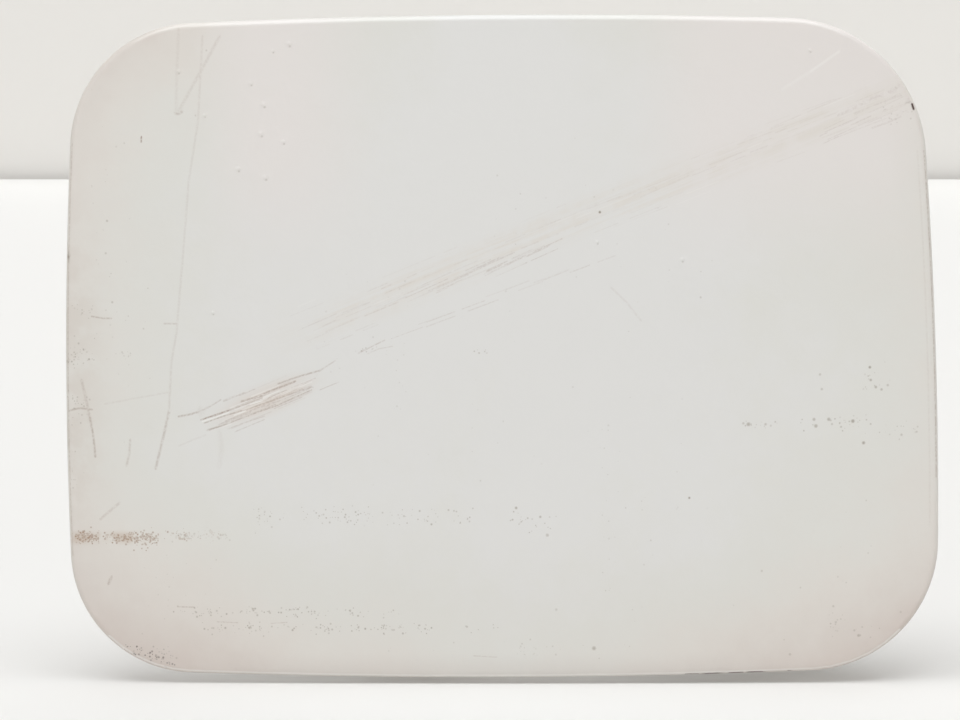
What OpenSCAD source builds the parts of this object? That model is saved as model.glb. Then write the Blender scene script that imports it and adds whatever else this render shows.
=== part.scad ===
// Car fuel door: a hemmed steel leaf on a hidden hinge with an over-centre spring.
// X runs along the car towards the hinge, Y runs into the car and Z runs up.
// The leaf's middle is at zero while it is drawn, and from_mount() then moves
// every piece so that the middle of the hinge base's back face is the origin.
// Sizes are in millimetres and angles in degrees.

/* [Leaf outline] */
// Middle to the latch-side edge
left_reach = 92; // [80:0.5:105]
// Middle to the hinge-side edge
right_reach = 91.2; // [80:0.1:105]
// Middle to the top edge
top_reach = 70; // [60:0.5:80]
// Middle to the bottom edge
bottom_reach = 70; // [60:0.5:80]
// Radius that the latch-side edge is bowed to
left_bow = 1050; // [600:10:4000]
// Radius that the hinge-side edge is bowed to
right_bow = 1150; // [600:10:4000]
// Radius that the top edge is bowed to
top_bow = 1750; // [600:10:4000]
// Radius that the bottom edge is bowed to
bottom_bow = 1850; // [600:10:4000]
// Lean of the latch-side edge
left_lean = -0.35; // [-3:0.05:3]
// Lean of the hinge-side edge
right_lean = 2.25; // [-3:0.05:3]
// Lean of the top edge
top_lean = 0.4; // [-3:0.05:3]
// Lean of the bottom edge
bottom_lean = 0.2; // [-3:0.05:3]
// Corner radius, top and latch side
corner_top_left = 26.5; // [20:0.5:40]
// Corner radius, top and hinge side
corner_top_right = 30; // [20:0.5:40]
// Corner radius, bottom and latch side
corner_bottom_left = 26; // [20:0.5:40]
// Corner radius, bottom and hinge side
corner_bottom_right = 27.5; // [20:0.5:40]

/* [Leaf sheets] */
// Radius of the crown along the car
crown_along = 2500; // [1500:50:6000]
// Radius of the crown up the car's side
crown_up = 1500; // [1000:50:6000]
// Thickness of the painted outer sheet
skin_thick = 0.8; // [0.7:0.05:1]
// Width of the hem folded over the inner sheet
hem_width = 8; // [6:0.5:9]
// Thickness of the inner sheet
inner_thick = 0.7; // [0.6:0.05:0.9]
// Gap on each face of the inner sheet inside the hem
sheet_gap = 0.05; // [0.03:0.01:0.1]
// Edge of the leaf to the edge of the inner sheet
flange_start = 1.6; // [1.5:0.1:2.5]
// Edge of the leaf to the foot of the inner sheet's wall
wall_start = 11; // [10.5:0.5:13]
// Edge of the leaf to the inner sheet's flat field
field_start = 17; // [16:0.5:22]
// Depth of the flat field's back face behind the leaf's middle
field_back = 6; // [5.5:0.25:8]

/* [Inner sheet holes and ribs] */
// Radius of the lightening holes
light_hole_r = 8; // [4:0.5:9]
// Half length of each rib
rib_half = 42; // [20:1:46]
// Top or bottom edge to the middle of each rib
rib_inset = 26; // [24:0.5:30]
// Radius of each rib's foot
rib_r = 4.5; // [3:0.25:5]
// Height of each rib
rib_rise = 1.6; // [0.8:0.1:2]
// Depth of the lip pressed round each lightening hole
lip_depth = 2; // [1:0.1:2.6]

/* [Hinge] */
// Hinge-side edge to the pivot
pivot_inset = 23.2; // [20:0.1:28]
// Flat field to the pivot
pivot_stand = 9; // [8.5:0.25:12]
// How far the leaf opens
open_angle = 95; // [60:1:100]
// Radius of the hinge pin
pin_r = 2.5; // [2:0.1:3]
// Running clearance round the pin
pin_fit = 0.05; // [0.02:0.01:0.09]
// Wall of the pivot bushes
bush_wall = 1; // [0.8:0.1:1.2]
// Thickness of each bush's flange
bush_flange = 1; // [0.6:0.1:1.5]
// Gap left between pieces that are fitted together
fit_gap = 0.05; // [0.03:0.01:0.1]

/* [Hinge arm] */
// Thickness of the arm's sheet
arm_thick = 1.5; // [1.2:0.1:2]
// Half the arm's outside height
arm_half = 25.5; // [22:0.5:30]
// Pivot to the middle of the arm's far end
arm_reach = 37; // [30:1:45]
// Radius of the arm's eyes
arm_eye_r = 6; // [5.5:0.1:6.5]
// Radius of the arm's rounded ends
arm_end_r = 3; // [2.5:0.1:4]
// Pivot to the middle of the stop nose
nose_reach = 9; // [8:0.1:10]
// Screws apart, up the arm
screw_apart = 24; // [18:1:30]
// Pivot to the screws
screw_reach = 30; // [26:1:34]

/* [Hinge base] */
// Thickness of the base's sheet
base_thick = 2; // [1.5:0.1:2.5]
// Pivot to the base's back face
base_depth = 22; // [21:0.5:30]
// Width of the base plate
base_width = 40; // [34:1:46]
// Pivot to the base plate's nearer edge
base_start = 4; // [3:0.5:8]
// Radius of the base's eyes
base_eye_r = 6.5; // [6:0.1:7]
// Radius of the bolt slots
bolt_r = 3.3; // [2.7:0.1:4.3]
// Overall length of each bolt slot
bolt_slot = 9; // [7:0.5:12]
// Bolt slots apart
bolt_apart = 32; // [26:1:36]
// Radius of the stop spacer
stop_r = 3; // [2.5:0.1:3.5]
// Pivot to the stop spacer
stop_reach = 12; // [11.5:0.1:13]
// Direction of the stop spacer from the pivot
stop_angle = 138; // [130:1:145]
// Gap left at the stop when the leaf is fully open
stop_gap = 0.3; // [0.1:0.05:0.5]

/* [Over-centre spring] */
// Pivot to each spring peg
peg_reach = 13; // [12:0.25:14]
// Direction of the arm's peg from the pivot with the leaf shut
arm_peg_angle = 202; // [198:0.5:206]
// Radius of the spring pegs
peg_r = 1.5; // [1.2:0.1:1.6]
// Wire thickness
wire = 0.8; // [0.6:0.05:1]
// Outside radius of the coil
coil_r = 2.5; // [2.2:0.05:2.8]
// Peg to the coil's end
hook_len = 4.4; // [4:0.1:5.5]

/* [Latch striker] */
// Latch-side edge to the striker's tongue
striker_inset = 20.5; // [19:0.5:30]
// Thickness of the striker's sheet
striker_thick = 1.5; // [1.2:0.1:2]
// Half width of the tongue
striker_half = 7; // [6:0.5:9]
// Radius of the hole that the latch pin enters
latch_hole_r = 4.3; // [3:0.1:5]
// Flat field to the middle of that hole
latch_stand = 10; // [9:0.5:14]
// Length of the striker's foot
striker_foot = 18; // [15:0.5:22]

/* [Small fittings] */
// Radius of the rivets' shanks
rivet_r = 1.6; // [1.4:0.1:2]
// Latch-side edge to the buffers near it
buffer_inset = 26; // [25:0.5:32]
// Top or bottom edge to the buffers near the latch
buffer_drop = 32; // [30:0.5:40]
// Pivot to the buffers near the hinge
buffer_reach = 22; // [20:0.5:30]
// Radius of the stems pressed through the inner sheet
stem_r = 2.4; // [2:0.1:2.8]
// Radius of each stem's barb
barb_r = 2.9; // [2.6:0.1:3.2]
// Radius of the rubber buffers
buffer_r = 4.5; // [3.5:0.25:5]
// Height of the rubber buffers
buffer_rise = 4; // [3:0.25:6]
// Width of the slot that holds the filler cap's neck
cap_slot = 13; // [10:0.5:16]
// Width of the cap holder
cap_width = 30; // [26:1:34]
// Depth of the cap holder behind the flat field
cap_rise = 14; // [12:0.5:18]

/* [Hidden] */
$fn = 48;
side_steps = 10;
corner_steps = 14;

// The fold of the hem just clears the inner sheet
hem_radius = skin_thick + inner_thick / 2 + sheet_gap;
pivot = [right_reach - pivot_inset, field_back + pivot_stand];
base_back = pivot[1] + base_depth;
base_right = pivot[0] - base_start;
base_left = base_right - base_width;
base_middle = (base_left + base_right) / 2;
bush_r = pin_r + pin_fit + bush_wall;
base_half = arm_half + bush_flange + 2 * fit_gap + 0.1 + base_thick;
arm_face = field_back + fit_gap;
stop_point = pivot + polar(stop_reach, stop_angle);
nose_spread = stop_r + arm_end_r + stop_gap;
nose_lag = acos((pow(nose_reach, 2) + pow(stop_reach, 2) - pow(nose_spread, 2))
    / (2 * nose_reach * stop_reach));
nose_point = pivot + polar(nose_reach, stop_angle - nose_lag - open_angle);
// The pegs lie on one circle, so the spring is as long open as it is shut
base_peg_angle = arm_peg_angle + open_angle / 2 - 180;
arm_peg = pivot + polar(peg_reach, arm_peg_angle);
base_peg = pivot + polar(peg_reach, base_peg_angle);
spring_length = 2 * peg_reach * sin((arm_peg_angle - base_peg_angle) / 2);
spring_angle = atan2(arm_peg[1] - base_peg[1], arm_peg[0] - base_peg[0]);
pin_head = 1.5;
spring_z = base_half + fit_gap + pin_head + 0.4 + coil_r;
peg_top = spring_z + 2;
screw_x = pivot[0] - screw_reach;
screw_r = 2.5;
striker_x = -left_reach + striker_inset;
rivet_x = striker_x + 10;
rivet_z = 5;
// The latch-side fittings keep their distance from that edge, the others from the pivot
holes_x = pivot[0] - 60;
light_holes = [
    [holes_x - 52, 22],
    [holes_x - 26, 22],
    [holes_x, 22],
    [holes_x + 2, -22],
    [holes_x - 54, -24]];
cap_x = holes_x - 27;
cap_low = -34;
cap_high = -14;
cap_stem = 11;
// Upper left, lower left, upper right and lower right
buffers = [
    [-left_reach + buffer_inset, top_reach - buffer_drop],
    [-left_reach + buffer_inset, buffer_drop - bottom_reach],
    [pivot[0] - buffer_reach, top_reach - buffer_drop + 4],
    [pivot[0] - buffer_reach, buffer_drop - bottom_reach - 4]];
rib_x = -6;
ribs = [top_reach - rib_inset, rib_inset - bottom_reach];

// Outline: four bowed sides joined by four corners, each as [centre, radius, angle]
function polar(r, a) = [r * cos(a), r * sin(a)];
function near(a, target) = a + 360 * round((target - a) / 360);
function heading(v) = atan2(v[1], v[0]);
sides = [
    [[right_reach, 0] - polar(right_bow, right_lean), right_bow],
    [[0, top_reach] - polar(top_bow, 90 + top_lean), top_bow],
    [[-left_reach, 0] - polar(left_bow, 180 + left_lean), left_bow],
    [[0, -bottom_reach] - polar(bottom_bow, 270 + bottom_lean), bottom_bow]
];
corner_radii = [corner_top_right, corner_top_left, corner_bottom_left, corner_bottom_right];
function meet(a, ra, b, rb) =
    let (d = norm(b - a), e = (b - a) / d, x = (d * d + ra * ra - rb * rb) / (2 * d))
    a + x * e + sqrt(ra * ra - x * x) * [-e[1], e[0]];
corners = [for (i = [0:3])
    let (a = sides[i], b = sides[(i + 1) % 4], r = corner_radii[i], c = meet(a[0], a[1] - r, b[0], b[1] - r))
    [c, r, near(heading(c - a[0]), 90 * i), near(heading(c - b[0]), 90 * i + 90)]];
function arc(c, r, from, to, steps) = [for (k = [0:steps - 1]) [c, r, from + (to - from) * k / steps]];
rim = [for (i = [0:3]) each concat(
    arc(sides[i][0], sides[i][1], near(corners[(i + 3) % 4][3], 90 * i), corners[i][2], side_steps),
    arc(corners[i][0], corners[i][1], corners[i][2], corners[i][3], corner_steps))];
count = len(rim);

// The leaf's crowned face, and rings that follow it at an inset from the edge
function crown(q) = pow(q[0], 2) / (2 * crown_along) + pow(q[1], 2) / (2 * crown_up);
function inset(p, d) = p[0] + polar(p[1] - d, p[2]);
function ring(d, depth) = [for (p = rim) let (q = inset(p, d)) [q[0], crown(q) + depth, q[1]]];
function small_ring(d, share, depth) =
    [for (p = rim) let (q = share * inset(p, d)) [q[0], crown(q) + depth, q[1]]];
function flat_ring(d, y) = [for (p = rim) let (q = inset(p, d)) [q[0], y, q[1]]];
// A ring on the inner sheet's wall, a share of the way from the flange to the flat field
function wall_ring(share, offset) = [for (p = rim)
    let (d = wall_start + (field_start - wall_start) * share,
        foot = crown(inset(p, wall_start)) + 2 * hem_radius - skin_thick - sheet_gap,
        rise = field_back - foot,
        y = foot + rise * share * share * (3 - 2 * share),
        lean = atan(rise * 6 * share * (1 - share) / (field_start - wall_start)),
        q = inset(p, d + offset * sin(lean)))
    [q[0], y - offset * cos(lean), q[1]]];

function at(i, j) = 1 + i * count + j % count;
// A sheet closed by a point in its front face and one in its back face
module closed_sheet(front, rings, back) {
    last = 1 + len(rings) * count;
    polyhedron(
        points = concat([front], [for (r = rings) each r], [back]),
        faces = concat(
            [for (j = [0:count - 1]) [0, at(0, j + 1), at(0, j)]],
            [for (i = [0:len(rings) - 2], j = [0:count - 1]) each [
                [at(i, j), at(i, j + 1), at(i + 1, j + 1)],
                [at(i, j), at(i + 1, j + 1), at(i + 1, j)]]],
            [for (j = [0:count - 1]) [at(len(rings) - 1, j), at(len(rings) - 1, j + 1), last]]));
}
// A closed band that runs round the whole leaf
module closed_band(rings) {
    m = len(rings);
    polyhedron(
        points = [for (r = rings) each r],
        faces = [for (i = [0:m - 1], j = [0:count - 1])
            let (a = i * count, b = ((i + 1) % m) * count, k = (j + 1) % count)
            each [[a + j, a + k, b + k], [a + j, b + k, b + j]]]);
}

module from_mount() {
    translate([-base_middle, -base_back, 0])
        children();
}
module at_pivot() {
    translate([pivot[0], pivot[1], 0])
        children();
}
module rod_y(x, z, from, to, r) {
    translate([x, from, z])
        rotate([-90, 0, 0])
            cylinder(h = to - from, r = r);
}
module rod_z(p, from, to, r) {
    translate([p[0], p[1], from])
        cylinder(h = to - from, r = r);
}
// A plate with two round ends and sides tangent to both
module strap(a, ra, b, rb, from, to) {
    run = b - a;
    way = heading(run);
    spread = acos((ra - rb) / norm(run));
    translate([0, 0, from])
        linear_extrude(height = to - from)
            polygon([
                a + polar(ra, way + spread),
                b + polar(rb, way + spread),
                b + polar(rb, way - spread),
                a + polar(ra, way - spread)]);
    rod_z(a, from, to, ra);
    rod_z(b, from, to, rb);
}
// A bar along X whose section has its corners rounded on the side at high Y
module round_bar(x0, x1, y0, y1, half, r) {
    translate([x0, y0, -half])
        cube([x1 - x0, y1 - r - y0, 2 * half]);
    translate([x0, y0, -half + r])
        cube([x1 - x0, y1 - y0, 2 * (half - r)]);
    for (s = [-1, 1])
        translate([x0, y1 - r, s * (half - r)])
            rotate([0, 90, 0])
                cylinder(h = x1 - x0, r = r);
}
// A U channel along X, open towards low Y
module channel(x0, x1, open_y, back_y, half, thick, bend) {
    difference() {
        round_bar(x0, x1, open_y, back_y, half, bend + thick);
        round_bar(x0 - 1, x1 + 1, open_y - 1, back_y - thick, half - thick, bend);
    }
}
// A rib with sloping sides that stands up along Y
module rib(half, r, rise) {
    for (s = [-1, 1])
        translate([s * half, 0, 0])
            rotate([-90, 0, 0])
                cylinder(h = rise, r1 = r, r2 = r - rise);
    translate([-half, 0, 0])
        rotate([90, 0, 90])
            linear_extrude(height = 2 * half)
                polygon([[0, -r], [rise, -r + rise], [rise, r - rise], [0, r]]);
}

module outer_panel() {
    d = hem_radius;
    fold = hem_radius - skin_thick;
    shares = [0.2, 0.4, 0.6, 0.8, 1];
    color("white")
        from_mount()
            closed_sheet([0, 0, 0], concat(
                [for (s = shares) small_ring(wall_start, s, 0)],
                [for (a = [0:30:180]) ring(d - d * sin(a), d - d * cos(a))],
                [ring(hem_width, 2 * d), ring(hem_width, 2 * d - skin_thick)],
                [for (a = [180:-45:0]) ring(d - fold * sin(a), d - fold * cos(a))],
                [for (s = [1, 0.8, 0.6, 0.4, 0.2]) small_ring(wall_start, s, skin_thick)]),
                [0, skin_thick, 0]);
}

module inner_panel() {
    shares = [0, 0.2, 0.4, 0.6, 0.8, 1];
    low = skin_thick + sheet_gap;
    high = low + inner_thick;
    color("gainsboro")
        from_mount()
            difference() {
                union() {
                    closed_sheet([0, field_back - inner_thick, 0], concat(
                        [for (s = [1, 0.8, 0.6, 0.4, 0.2, 0]) wall_ring(s, inner_thick)],
                        [ring((flange_start + wall_start) / 2, low), ring(flange_start, low)],
                        [ring(flange_start, high), ring((flange_start + wall_start) / 2, high)],
                        [for (s = shares) wall_ring(s, 0)]),
                        [0, field_back, 0]);
                    for (z = ribs)
                        translate([rib_x, field_back, z])
                            rib(rib_half, rib_r, rib_rise);
                    for (p = light_holes)
                        rod_y(p[0], p[1], field_back - lip_depth, field_back, light_hole_r + inner_thick);
                }
                for (z = ribs)
                    translate([rib_x, field_back - inner_thick, z])
                        rib(rib_half, rib_r, rib_rise);
                for (p = light_holes)
                    rod_y(p[0], p[1], 0, 20, light_hole_r);
                for (p = buffers)
                    rod_y(p[0], p[1], 0, 20, stem_r + fit_gap);
                for (s = [-1, 1]) {
                    rod_y(screw_x, s * screw_apart / 2, 0, 20, screw_r + 0.7);
                    rod_y(rivet_x, s * rivet_z, 0, 20, rivet_r + fit_gap);
                    rod_y(cap_x + s * cap_stem, (cap_low + cap_high) / 2, 0, 20, stem_r + fit_gap);
                }
            }
}

module hem_sealer() {
    back = skin_thick + sheet_gap + inner_thick;
    color("silver")
        from_mount()
            closed_band([
                ring(hem_width + 2.2, back + 0.03),
                ring(hem_width + 0.03, back + 0.03),
                ring(hem_width + 0.03, 2 * hem_radius - 0.1),
                ring(hem_width + 1.2, back + 0.55)]);
}

// A dab of mastic that joins the two sheets
module mastic(x, z, r) {
    near_y = crown([x, z]) + skin_thick + 0.15 + r * 0.05;
    color("dimgray")
        from_mount()
            rod_y(x, z, near_y, field_back - inner_thick - fit_gap, r);
}
module mastic_left() mastic(-left_reach + 30, -22, 6);
module mastic_middle() mastic(cap_x, 2, 6);
module mastic_right() mastic(pivot[0] - 12, 0, 6);

module arm_outline() {
    far = [pivot[0] - arm_reach, arm_face + arm_end_r];
    close = [pivot[0] - 9, arm_face + arm_end_r];
    strap(pivot, arm_eye_r, far, arm_end_r, -40, 40);
    strap(pivot, arm_eye_r, close, arm_end_r, -40, 40);
    strap(close, arm_end_r, far, arm_end_r, -40, 40);
    strap(pivot, arm_eye_r, nose_point, arm_end_r, -40, 40);
}
module hinge_arm() {
    reach = pivot[0] + 15;
    color("darkgray")
        from_mount()
            difference() {
                intersection() {
                    translate([0, 2 * arm_face, 0])
                        mirror([0, 1, 0])
                            channel(-20, reach, arm_face - 30, arm_face, arm_half, arm_thick, 1);
                    arm_outline();
                }
                rod_z(pivot, -40, 40, bush_r + fit_gap);
                rod_z(arm_peg, 0, 40, peg_r + fit_gap);
                for (s = [-1, 1])
                    rod_y(screw_x, s * screw_apart / 2, 0, 20, screw_r + 0.3);
                rod_y(screw_x + 13, 0, 0, 20, 5);
            }
}

module arm_screw(s) {
    top = arm_face + arm_thick + fit_gap;
    color("darkslategray")
        from_mount()
            difference() {
                union() {
                    rod_y(screw_x, s * screw_apart / 2, 2.1, top + 0.1, screw_r);
                    rod_y(screw_x, s * screw_apart / 2, top, top + 1, 5);
                    rod_y(screw_x, s * screw_apart / 2, top + 0.9, top + 3, 4.2);
                }
                translate([screw_x, top + 1.2, s * screw_apart / 2])
                    rotate([-90, 0, 0])
                        cylinder(h = 5, r = 2.3, $fn = 6);
            }
}
module arm_screw_upper() arm_screw(1);
module arm_screw_lower() arm_screw(-1);

module weld_nut(s) {
    face = field_back - inner_thick - fit_gap;
    color("gray")
        from_mount()
            difference() {
                translate([screw_x, face - 2.8, s * screw_apart / 2])
                    rotate([-90, 0, 0])
                        cylinder(h = 2.8, r = 4.6, $fn = 6);
                rod_y(screw_x, s * screw_apart / 2, 0, 20, screw_r + fit_gap);
            }
}
module weld_nut_upper() weld_nut(1);
module weld_nut_lower() weld_nut(-1);

module pivot_bush() {
    difference() {
        union() {
            rod_z(pivot, arm_half - arm_thick - 2, arm_half + fit_gap + 0.1, bush_r);
            rod_z(pivot, arm_half + fit_gap, arm_half + fit_gap + bush_flange, arm_eye_r - 0.8);
        }
        rod_z(pivot, 0, 40, pin_r + pin_fit);
    }
}
module pivot_bush_upper() {
    color("ivory")
        from_mount()
            pivot_bush();
}
module pivot_bush_lower() {
    color("ivory")
        from_mount()
            mirror([0, 0, 1])
                pivot_bush();
}

// A peg riveted through a sheet, with a shoulder below and a head above the spring's hook
module spring_peg(p, sheet_low, sheet_high) {
    rod_z(p, sheet_low - 0.75, sheet_low - fit_gap, peg_r + 0.5);
    rod_z(p, sheet_low - 0.1, peg_top - 0.5, peg_r);
    rod_z(p, sheet_high + fit_gap, sheet_high + 1, peg_r + 1.2);
    rod_z(p, peg_top - 1, peg_top, peg_r + 0.8);
}
module arm_spring_peg() {
    color("silver")
        from_mount()
            spring_peg(arm_peg, arm_half - arm_thick, arm_half);
}
module base_spring_peg() {
    color("silver")
        from_mount()
            spring_peg(base_peg, base_half - base_thick, base_half);
}

module latch_striker() {
    foot = field_back + fit_gap;
    hole = field_back + latch_stand;
    color("darkgray")
        from_mount()
            difference() {
                union() {
                    translate([striker_x, foot + 1, -striker_half])
                        cube([striker_thick, hole - foot - 1, 2 * striker_half]);
                    translate([striker_x, hole, 0])
                        rotate([0, 90, 0])
                            cylinder(h = striker_thick, r = striker_half);
                    translate([striker_x + 3, foot, -striker_half - 2])
                        cube([striker_foot - 3, striker_thick, 2 * striker_half + 4]);
                    intersection() {
                        translate([striker_x, foot, -striker_half])
                            cube([3 + 0.1, 3, 2 * striker_half]);
                        difference() {
                            rod_z([striker_x + 3, foot + 3], -20, 20, 3);
                            rod_z([striker_x + 3, foot + 3], -21, 21, 3 - striker_thick);
                        }
                    }
                }
                translate([striker_x - 1, hole, 0])
                    rotate([0, 90, 0])
                        cylinder(h = striker_thick + 2, r = latch_hole_r);
                for (s = [-1, 1])
                    rod_y(rivet_x, s * rivet_z, 0, 20, rivet_r + fit_gap);
            }
}

module striker_rivet(s) {
    inside = field_back - inner_thick - fit_gap;
    top = field_back + fit_gap + striker_thick + fit_gap;
    color("silver")
        from_mount() {
            rod_y(rivet_x, s * rivet_z, inside - 1, top + 0.1, rivet_r);
            rod_y(rivet_x, s * rivet_z, inside - 1, inside, rivet_r + 0.8);
            rod_y(rivet_x, s * rivet_z, top, top + 0.6, rivet_r + 1.5);
            rod_y(rivet_x, s * rivet_z, top + 0.5, top + 1.1, rivet_r + 0.6);
        }
}
module striker_rivet_upper() striker_rivet(1);
module striker_rivet_lower() striker_rivet(-1);

// A stem pressed through the inner sheet, with a barb that holds it there
module barbed_stem(x, z, inside, face) {
    rod_y(x, z, inside - 2, face + 0.1, stem_r);
    translate([x, inside - 1.6, z])
        rotate([-90, 0, 0])
            cylinder(h = 1.6, r1 = stem_r - 0.7, r2 = barb_r);
}
// A rubber buffer on such a stem
module buffer(p) {
    x = p[0];
    z = p[1];
    face = field_back + fit_gap;
    inside = field_back - inner_thick - fit_gap;
    color("black")
        from_mount() {
            rod_y(x, z, face, face + buffer_rise - 1, buffer_r);
            rod_y(x, z, face + buffer_rise - 1.1, face + buffer_rise, buffer_r - 1);
            barbed_stem(x, z, inside, face);
        }
}
module buffer_upper_left() buffer(buffers[0]);
module buffer_lower_left() buffer(buffers[1]);
module buffer_upper_right() buffer(buffers[2]);
module buffer_lower_right() buffer(buffers[3]);

module cap_holder() {
    foot = field_back + fit_gap;
    inside = field_back - inner_thick - fit_gap;
    half = cap_width / 2;
    middle = (cap_low + cap_high) / 2;
    tall = cap_high - cap_low;
    color("dimgray")
        from_mount() {
            difference() {
                union() {
                    translate([cap_x - half, foot, cap_low])
                        cube([cap_width, 2, tall]);
                    for (s = [-1, 1])
                        translate([cap_x + s * (half - 1.25) - 1.25, foot + 1, cap_low])
                            cube([2.5, cap_rise - 2, tall]);
                    translate([cap_x - half, foot + 1, cap_low])
                        cube([cap_width, cap_rise - 2, 2]);
                    translate([cap_x - half, foot + cap_rise - 2, cap_low])
                        cube([cap_width, 2, tall]);
                }
                translate([cap_x - cap_slot / 2, foot + cap_rise - 3, cap_low + 8])
                    cube([cap_slot, 4, tall]);
                rod_y(cap_x, cap_low + 8, foot + cap_rise - 3, foot + cap_rise + 1, cap_slot / 2);
            }
            for (s = [-1, 1])
                barbed_stem(cap_x + s * cap_stem, middle, inside, foot);
        }
}

module base_outline() {
    left = [base_left + 3, base_back - 3];
    right = [base_right - 3, base_back - 3];
    lobe = peg_r + 2.3;
    strap(pivot, base_eye_r, base_peg, lobe, -40, 40);
    strap(pivot, base_eye_r, left, 3, -40, 40);
    strap(pivot, base_eye_r, right, 3, -40, 40);
    strap(base_peg, lobe, right, 3, -40, 40);
    translate([base_left, base_back - base_thick, -40])
        cube([base_width, base_thick, 80]);
    translate([left[0], base_back - 3, -40])
        cube([right[0] - left[0], 3, 80]);
    translate([0, 0, -40])
        linear_extrude(height = 80)
            polygon([pivot, base_peg, right, left]);
}
module hinge_base() {
    color("darkgray")
        from_mount()
            difference() {
                intersection() {
                    channel(base_left - 1, pivot[0] + 20, 0, base_back, base_half, base_thick, 1.5);
                    base_outline();
                }
                rod_z(pivot, -40, 40, pin_r + pin_fit);
                rod_z(stop_point, -40, 40, 2.05);
                rod_z(base_peg, 0, 40, peg_r + fit_gap);
                for (s = [-1, 1])
                    translate([base_middle, 0, s * bolt_apart / 2]) {
                        for (t = [-1, 1])
                            rod_y(0, t * (bolt_slot / 2 - bolt_r), base_back - 9, base_back + 1, bolt_r);
                        translate([-bolt_r, base_back - 9, -bolt_slot / 2 + bolt_r])
                            cube([2 * bolt_r, 10, bolt_slot - 2 * bolt_r]);
                    }
            }
}

module hinge_pin() {
    clip_low = -base_half - fit_gap - 1;
    color("silver")
        from_mount()
            difference() {
                union() {
                    rod_z(pivot, clip_low - 1.2, base_half + 0.1, pin_r);
                    rod_z(pivot, base_half + fit_gap, base_half + fit_gap + pin_head, pin_r + 1.6);
                }
                difference() {
                    rod_z(pivot, clip_low, clip_low + 0.9, pin_r + 1);
                    rod_z(pivot, clip_low - 1, clip_low + 2, pin_r - 0.6);
                }
            }
}
module pin_clip() {
    clip_low = -base_half - fit_gap - 1;
    color("gray")
        from_mount()
            difference() {
                rod_z(pivot, clip_low + fit_gap, clip_low + 0.85, pin_r + 2);
                rod_z(pivot, clip_low - 1, clip_low + 2, pin_r - 0.6 + fit_gap);
                translate([pivot[0], pivot[1] - 1.4, clip_low - 1])
                    cube([10, 2.8, 3]);
            }
}

module stop_spacer() {
    inside = base_half - base_thick - fit_gap;
    color("silver")
        from_mount() {
            rod_z(stop_point, -inside, inside, stop_r);
            rod_z(stop_point, -base_half - 0.2, base_half + 0.2, 2);
            for (s = [-1, 1])
                rod_z(stop_point, s * (base_half + 0.525) - 0.475, s * (base_half + 0.525) + 0.475, stop_r);
        }
}

// The spring is drawn along X from the base's peg, with its coils as touching rings
module spring_hook() {
    rotate_extrude()
        translate([peg_r + 0.1 + wire / 2, 0])
            circle(d = wire);
    translate([peg_r + 0.1 + wire / 2, 0, 0])
        rotate([0, 90, 0])
            cylinder(h = hook_len - peg_r - 0.1 - wire / 2, d = wire);
    translate([hook_len, 0, 0])
        cylinder(h = coil_r - wire / 2, d = wire);
    translate([hook_len, 0, 0])
        sphere(d = wire);
}
module over_centre_spring() {
    coil = spring_length - 2 * hook_len;
    turns = round(coil / (wire * 0.95));
    color("silver")
        from_mount()
            translate([base_peg[0], base_peg[1], spring_z])
                rotate([0, 0, spring_angle]) {
                    spring_hook();
                    translate([spring_length, 0, 0])
                        rotate([0, 0, 180])
                            spring_hook();
                    for (i = [0:turns])
                        translate([hook_len + coil * i / turns, 0, 0])
                            rotate([0, 90, 0])
                                rotate_extrude()
                                    translate([coil_r - wire / 2, 0])
                                        circle(d = wire);
                }
}

outer_panel();
inner_panel();
hem_sealer();
mastic_left();
mastic_middle();
mastic_right();
hinge_arm();
arm_screw_upper();
arm_screw_lower();
weld_nut_upper();
weld_nut_lower();
pivot_bush_upper();
pivot_bush_lower();
arm_spring_peg();
latch_striker();
striker_rivet_upper();
striker_rivet_lower();
buffer_upper_left();
buffer_lower_left();
buffer_upper_right();
buffer_lower_right();
cap_holder();
hinge_base();
hinge_pin();
pin_clip();
stop_spacer();
base_spring_peg();
over_centre_spring();
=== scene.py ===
"""Looks for the car fuel door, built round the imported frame.

Lengths are in millimetres in the leaf's own frame (x along the car, y into the
car, z up, all from the middle of the painted face) until row() turns them into
the row frame's metres.
"""

import math

import bmesh
import bpy
import numpy as np
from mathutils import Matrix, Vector
from mathutils.geometry import delaunay_2d_cdt


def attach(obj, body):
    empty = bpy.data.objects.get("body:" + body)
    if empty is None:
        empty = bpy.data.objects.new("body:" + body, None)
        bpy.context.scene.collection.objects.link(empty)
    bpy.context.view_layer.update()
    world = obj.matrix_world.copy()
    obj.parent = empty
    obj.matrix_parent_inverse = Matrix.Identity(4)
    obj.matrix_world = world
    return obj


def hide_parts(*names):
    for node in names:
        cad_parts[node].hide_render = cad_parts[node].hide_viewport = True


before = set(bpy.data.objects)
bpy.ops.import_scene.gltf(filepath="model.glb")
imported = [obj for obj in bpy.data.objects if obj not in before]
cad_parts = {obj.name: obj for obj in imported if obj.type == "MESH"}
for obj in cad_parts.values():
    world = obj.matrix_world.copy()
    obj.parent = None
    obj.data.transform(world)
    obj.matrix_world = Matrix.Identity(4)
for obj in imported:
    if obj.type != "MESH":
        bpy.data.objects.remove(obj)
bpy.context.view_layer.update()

# Leaf's middle to the row's origin
SHIFT = np.array([-44.0, -37.0, 0.0])
# Thickness of the two sheets, the air between them, and the hem's radius and width
SKIN = 0.8
INNER = 0.7
SHEET_GAP = 0.05
HEM_R = SKIN + INNER / 2 + SHEET_GAP
HEM_W = 8.0
# How far in from the outline the inner sheet's edge, its wall and its flat field begin, and the field's y
FLANGE = 1.6
WALL = 11.0
FIELD = 17.0
FIELD_Y = 6.0
# The hinge pin's x and y
PIVOT = np.array([68.0, 15.0])
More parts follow.
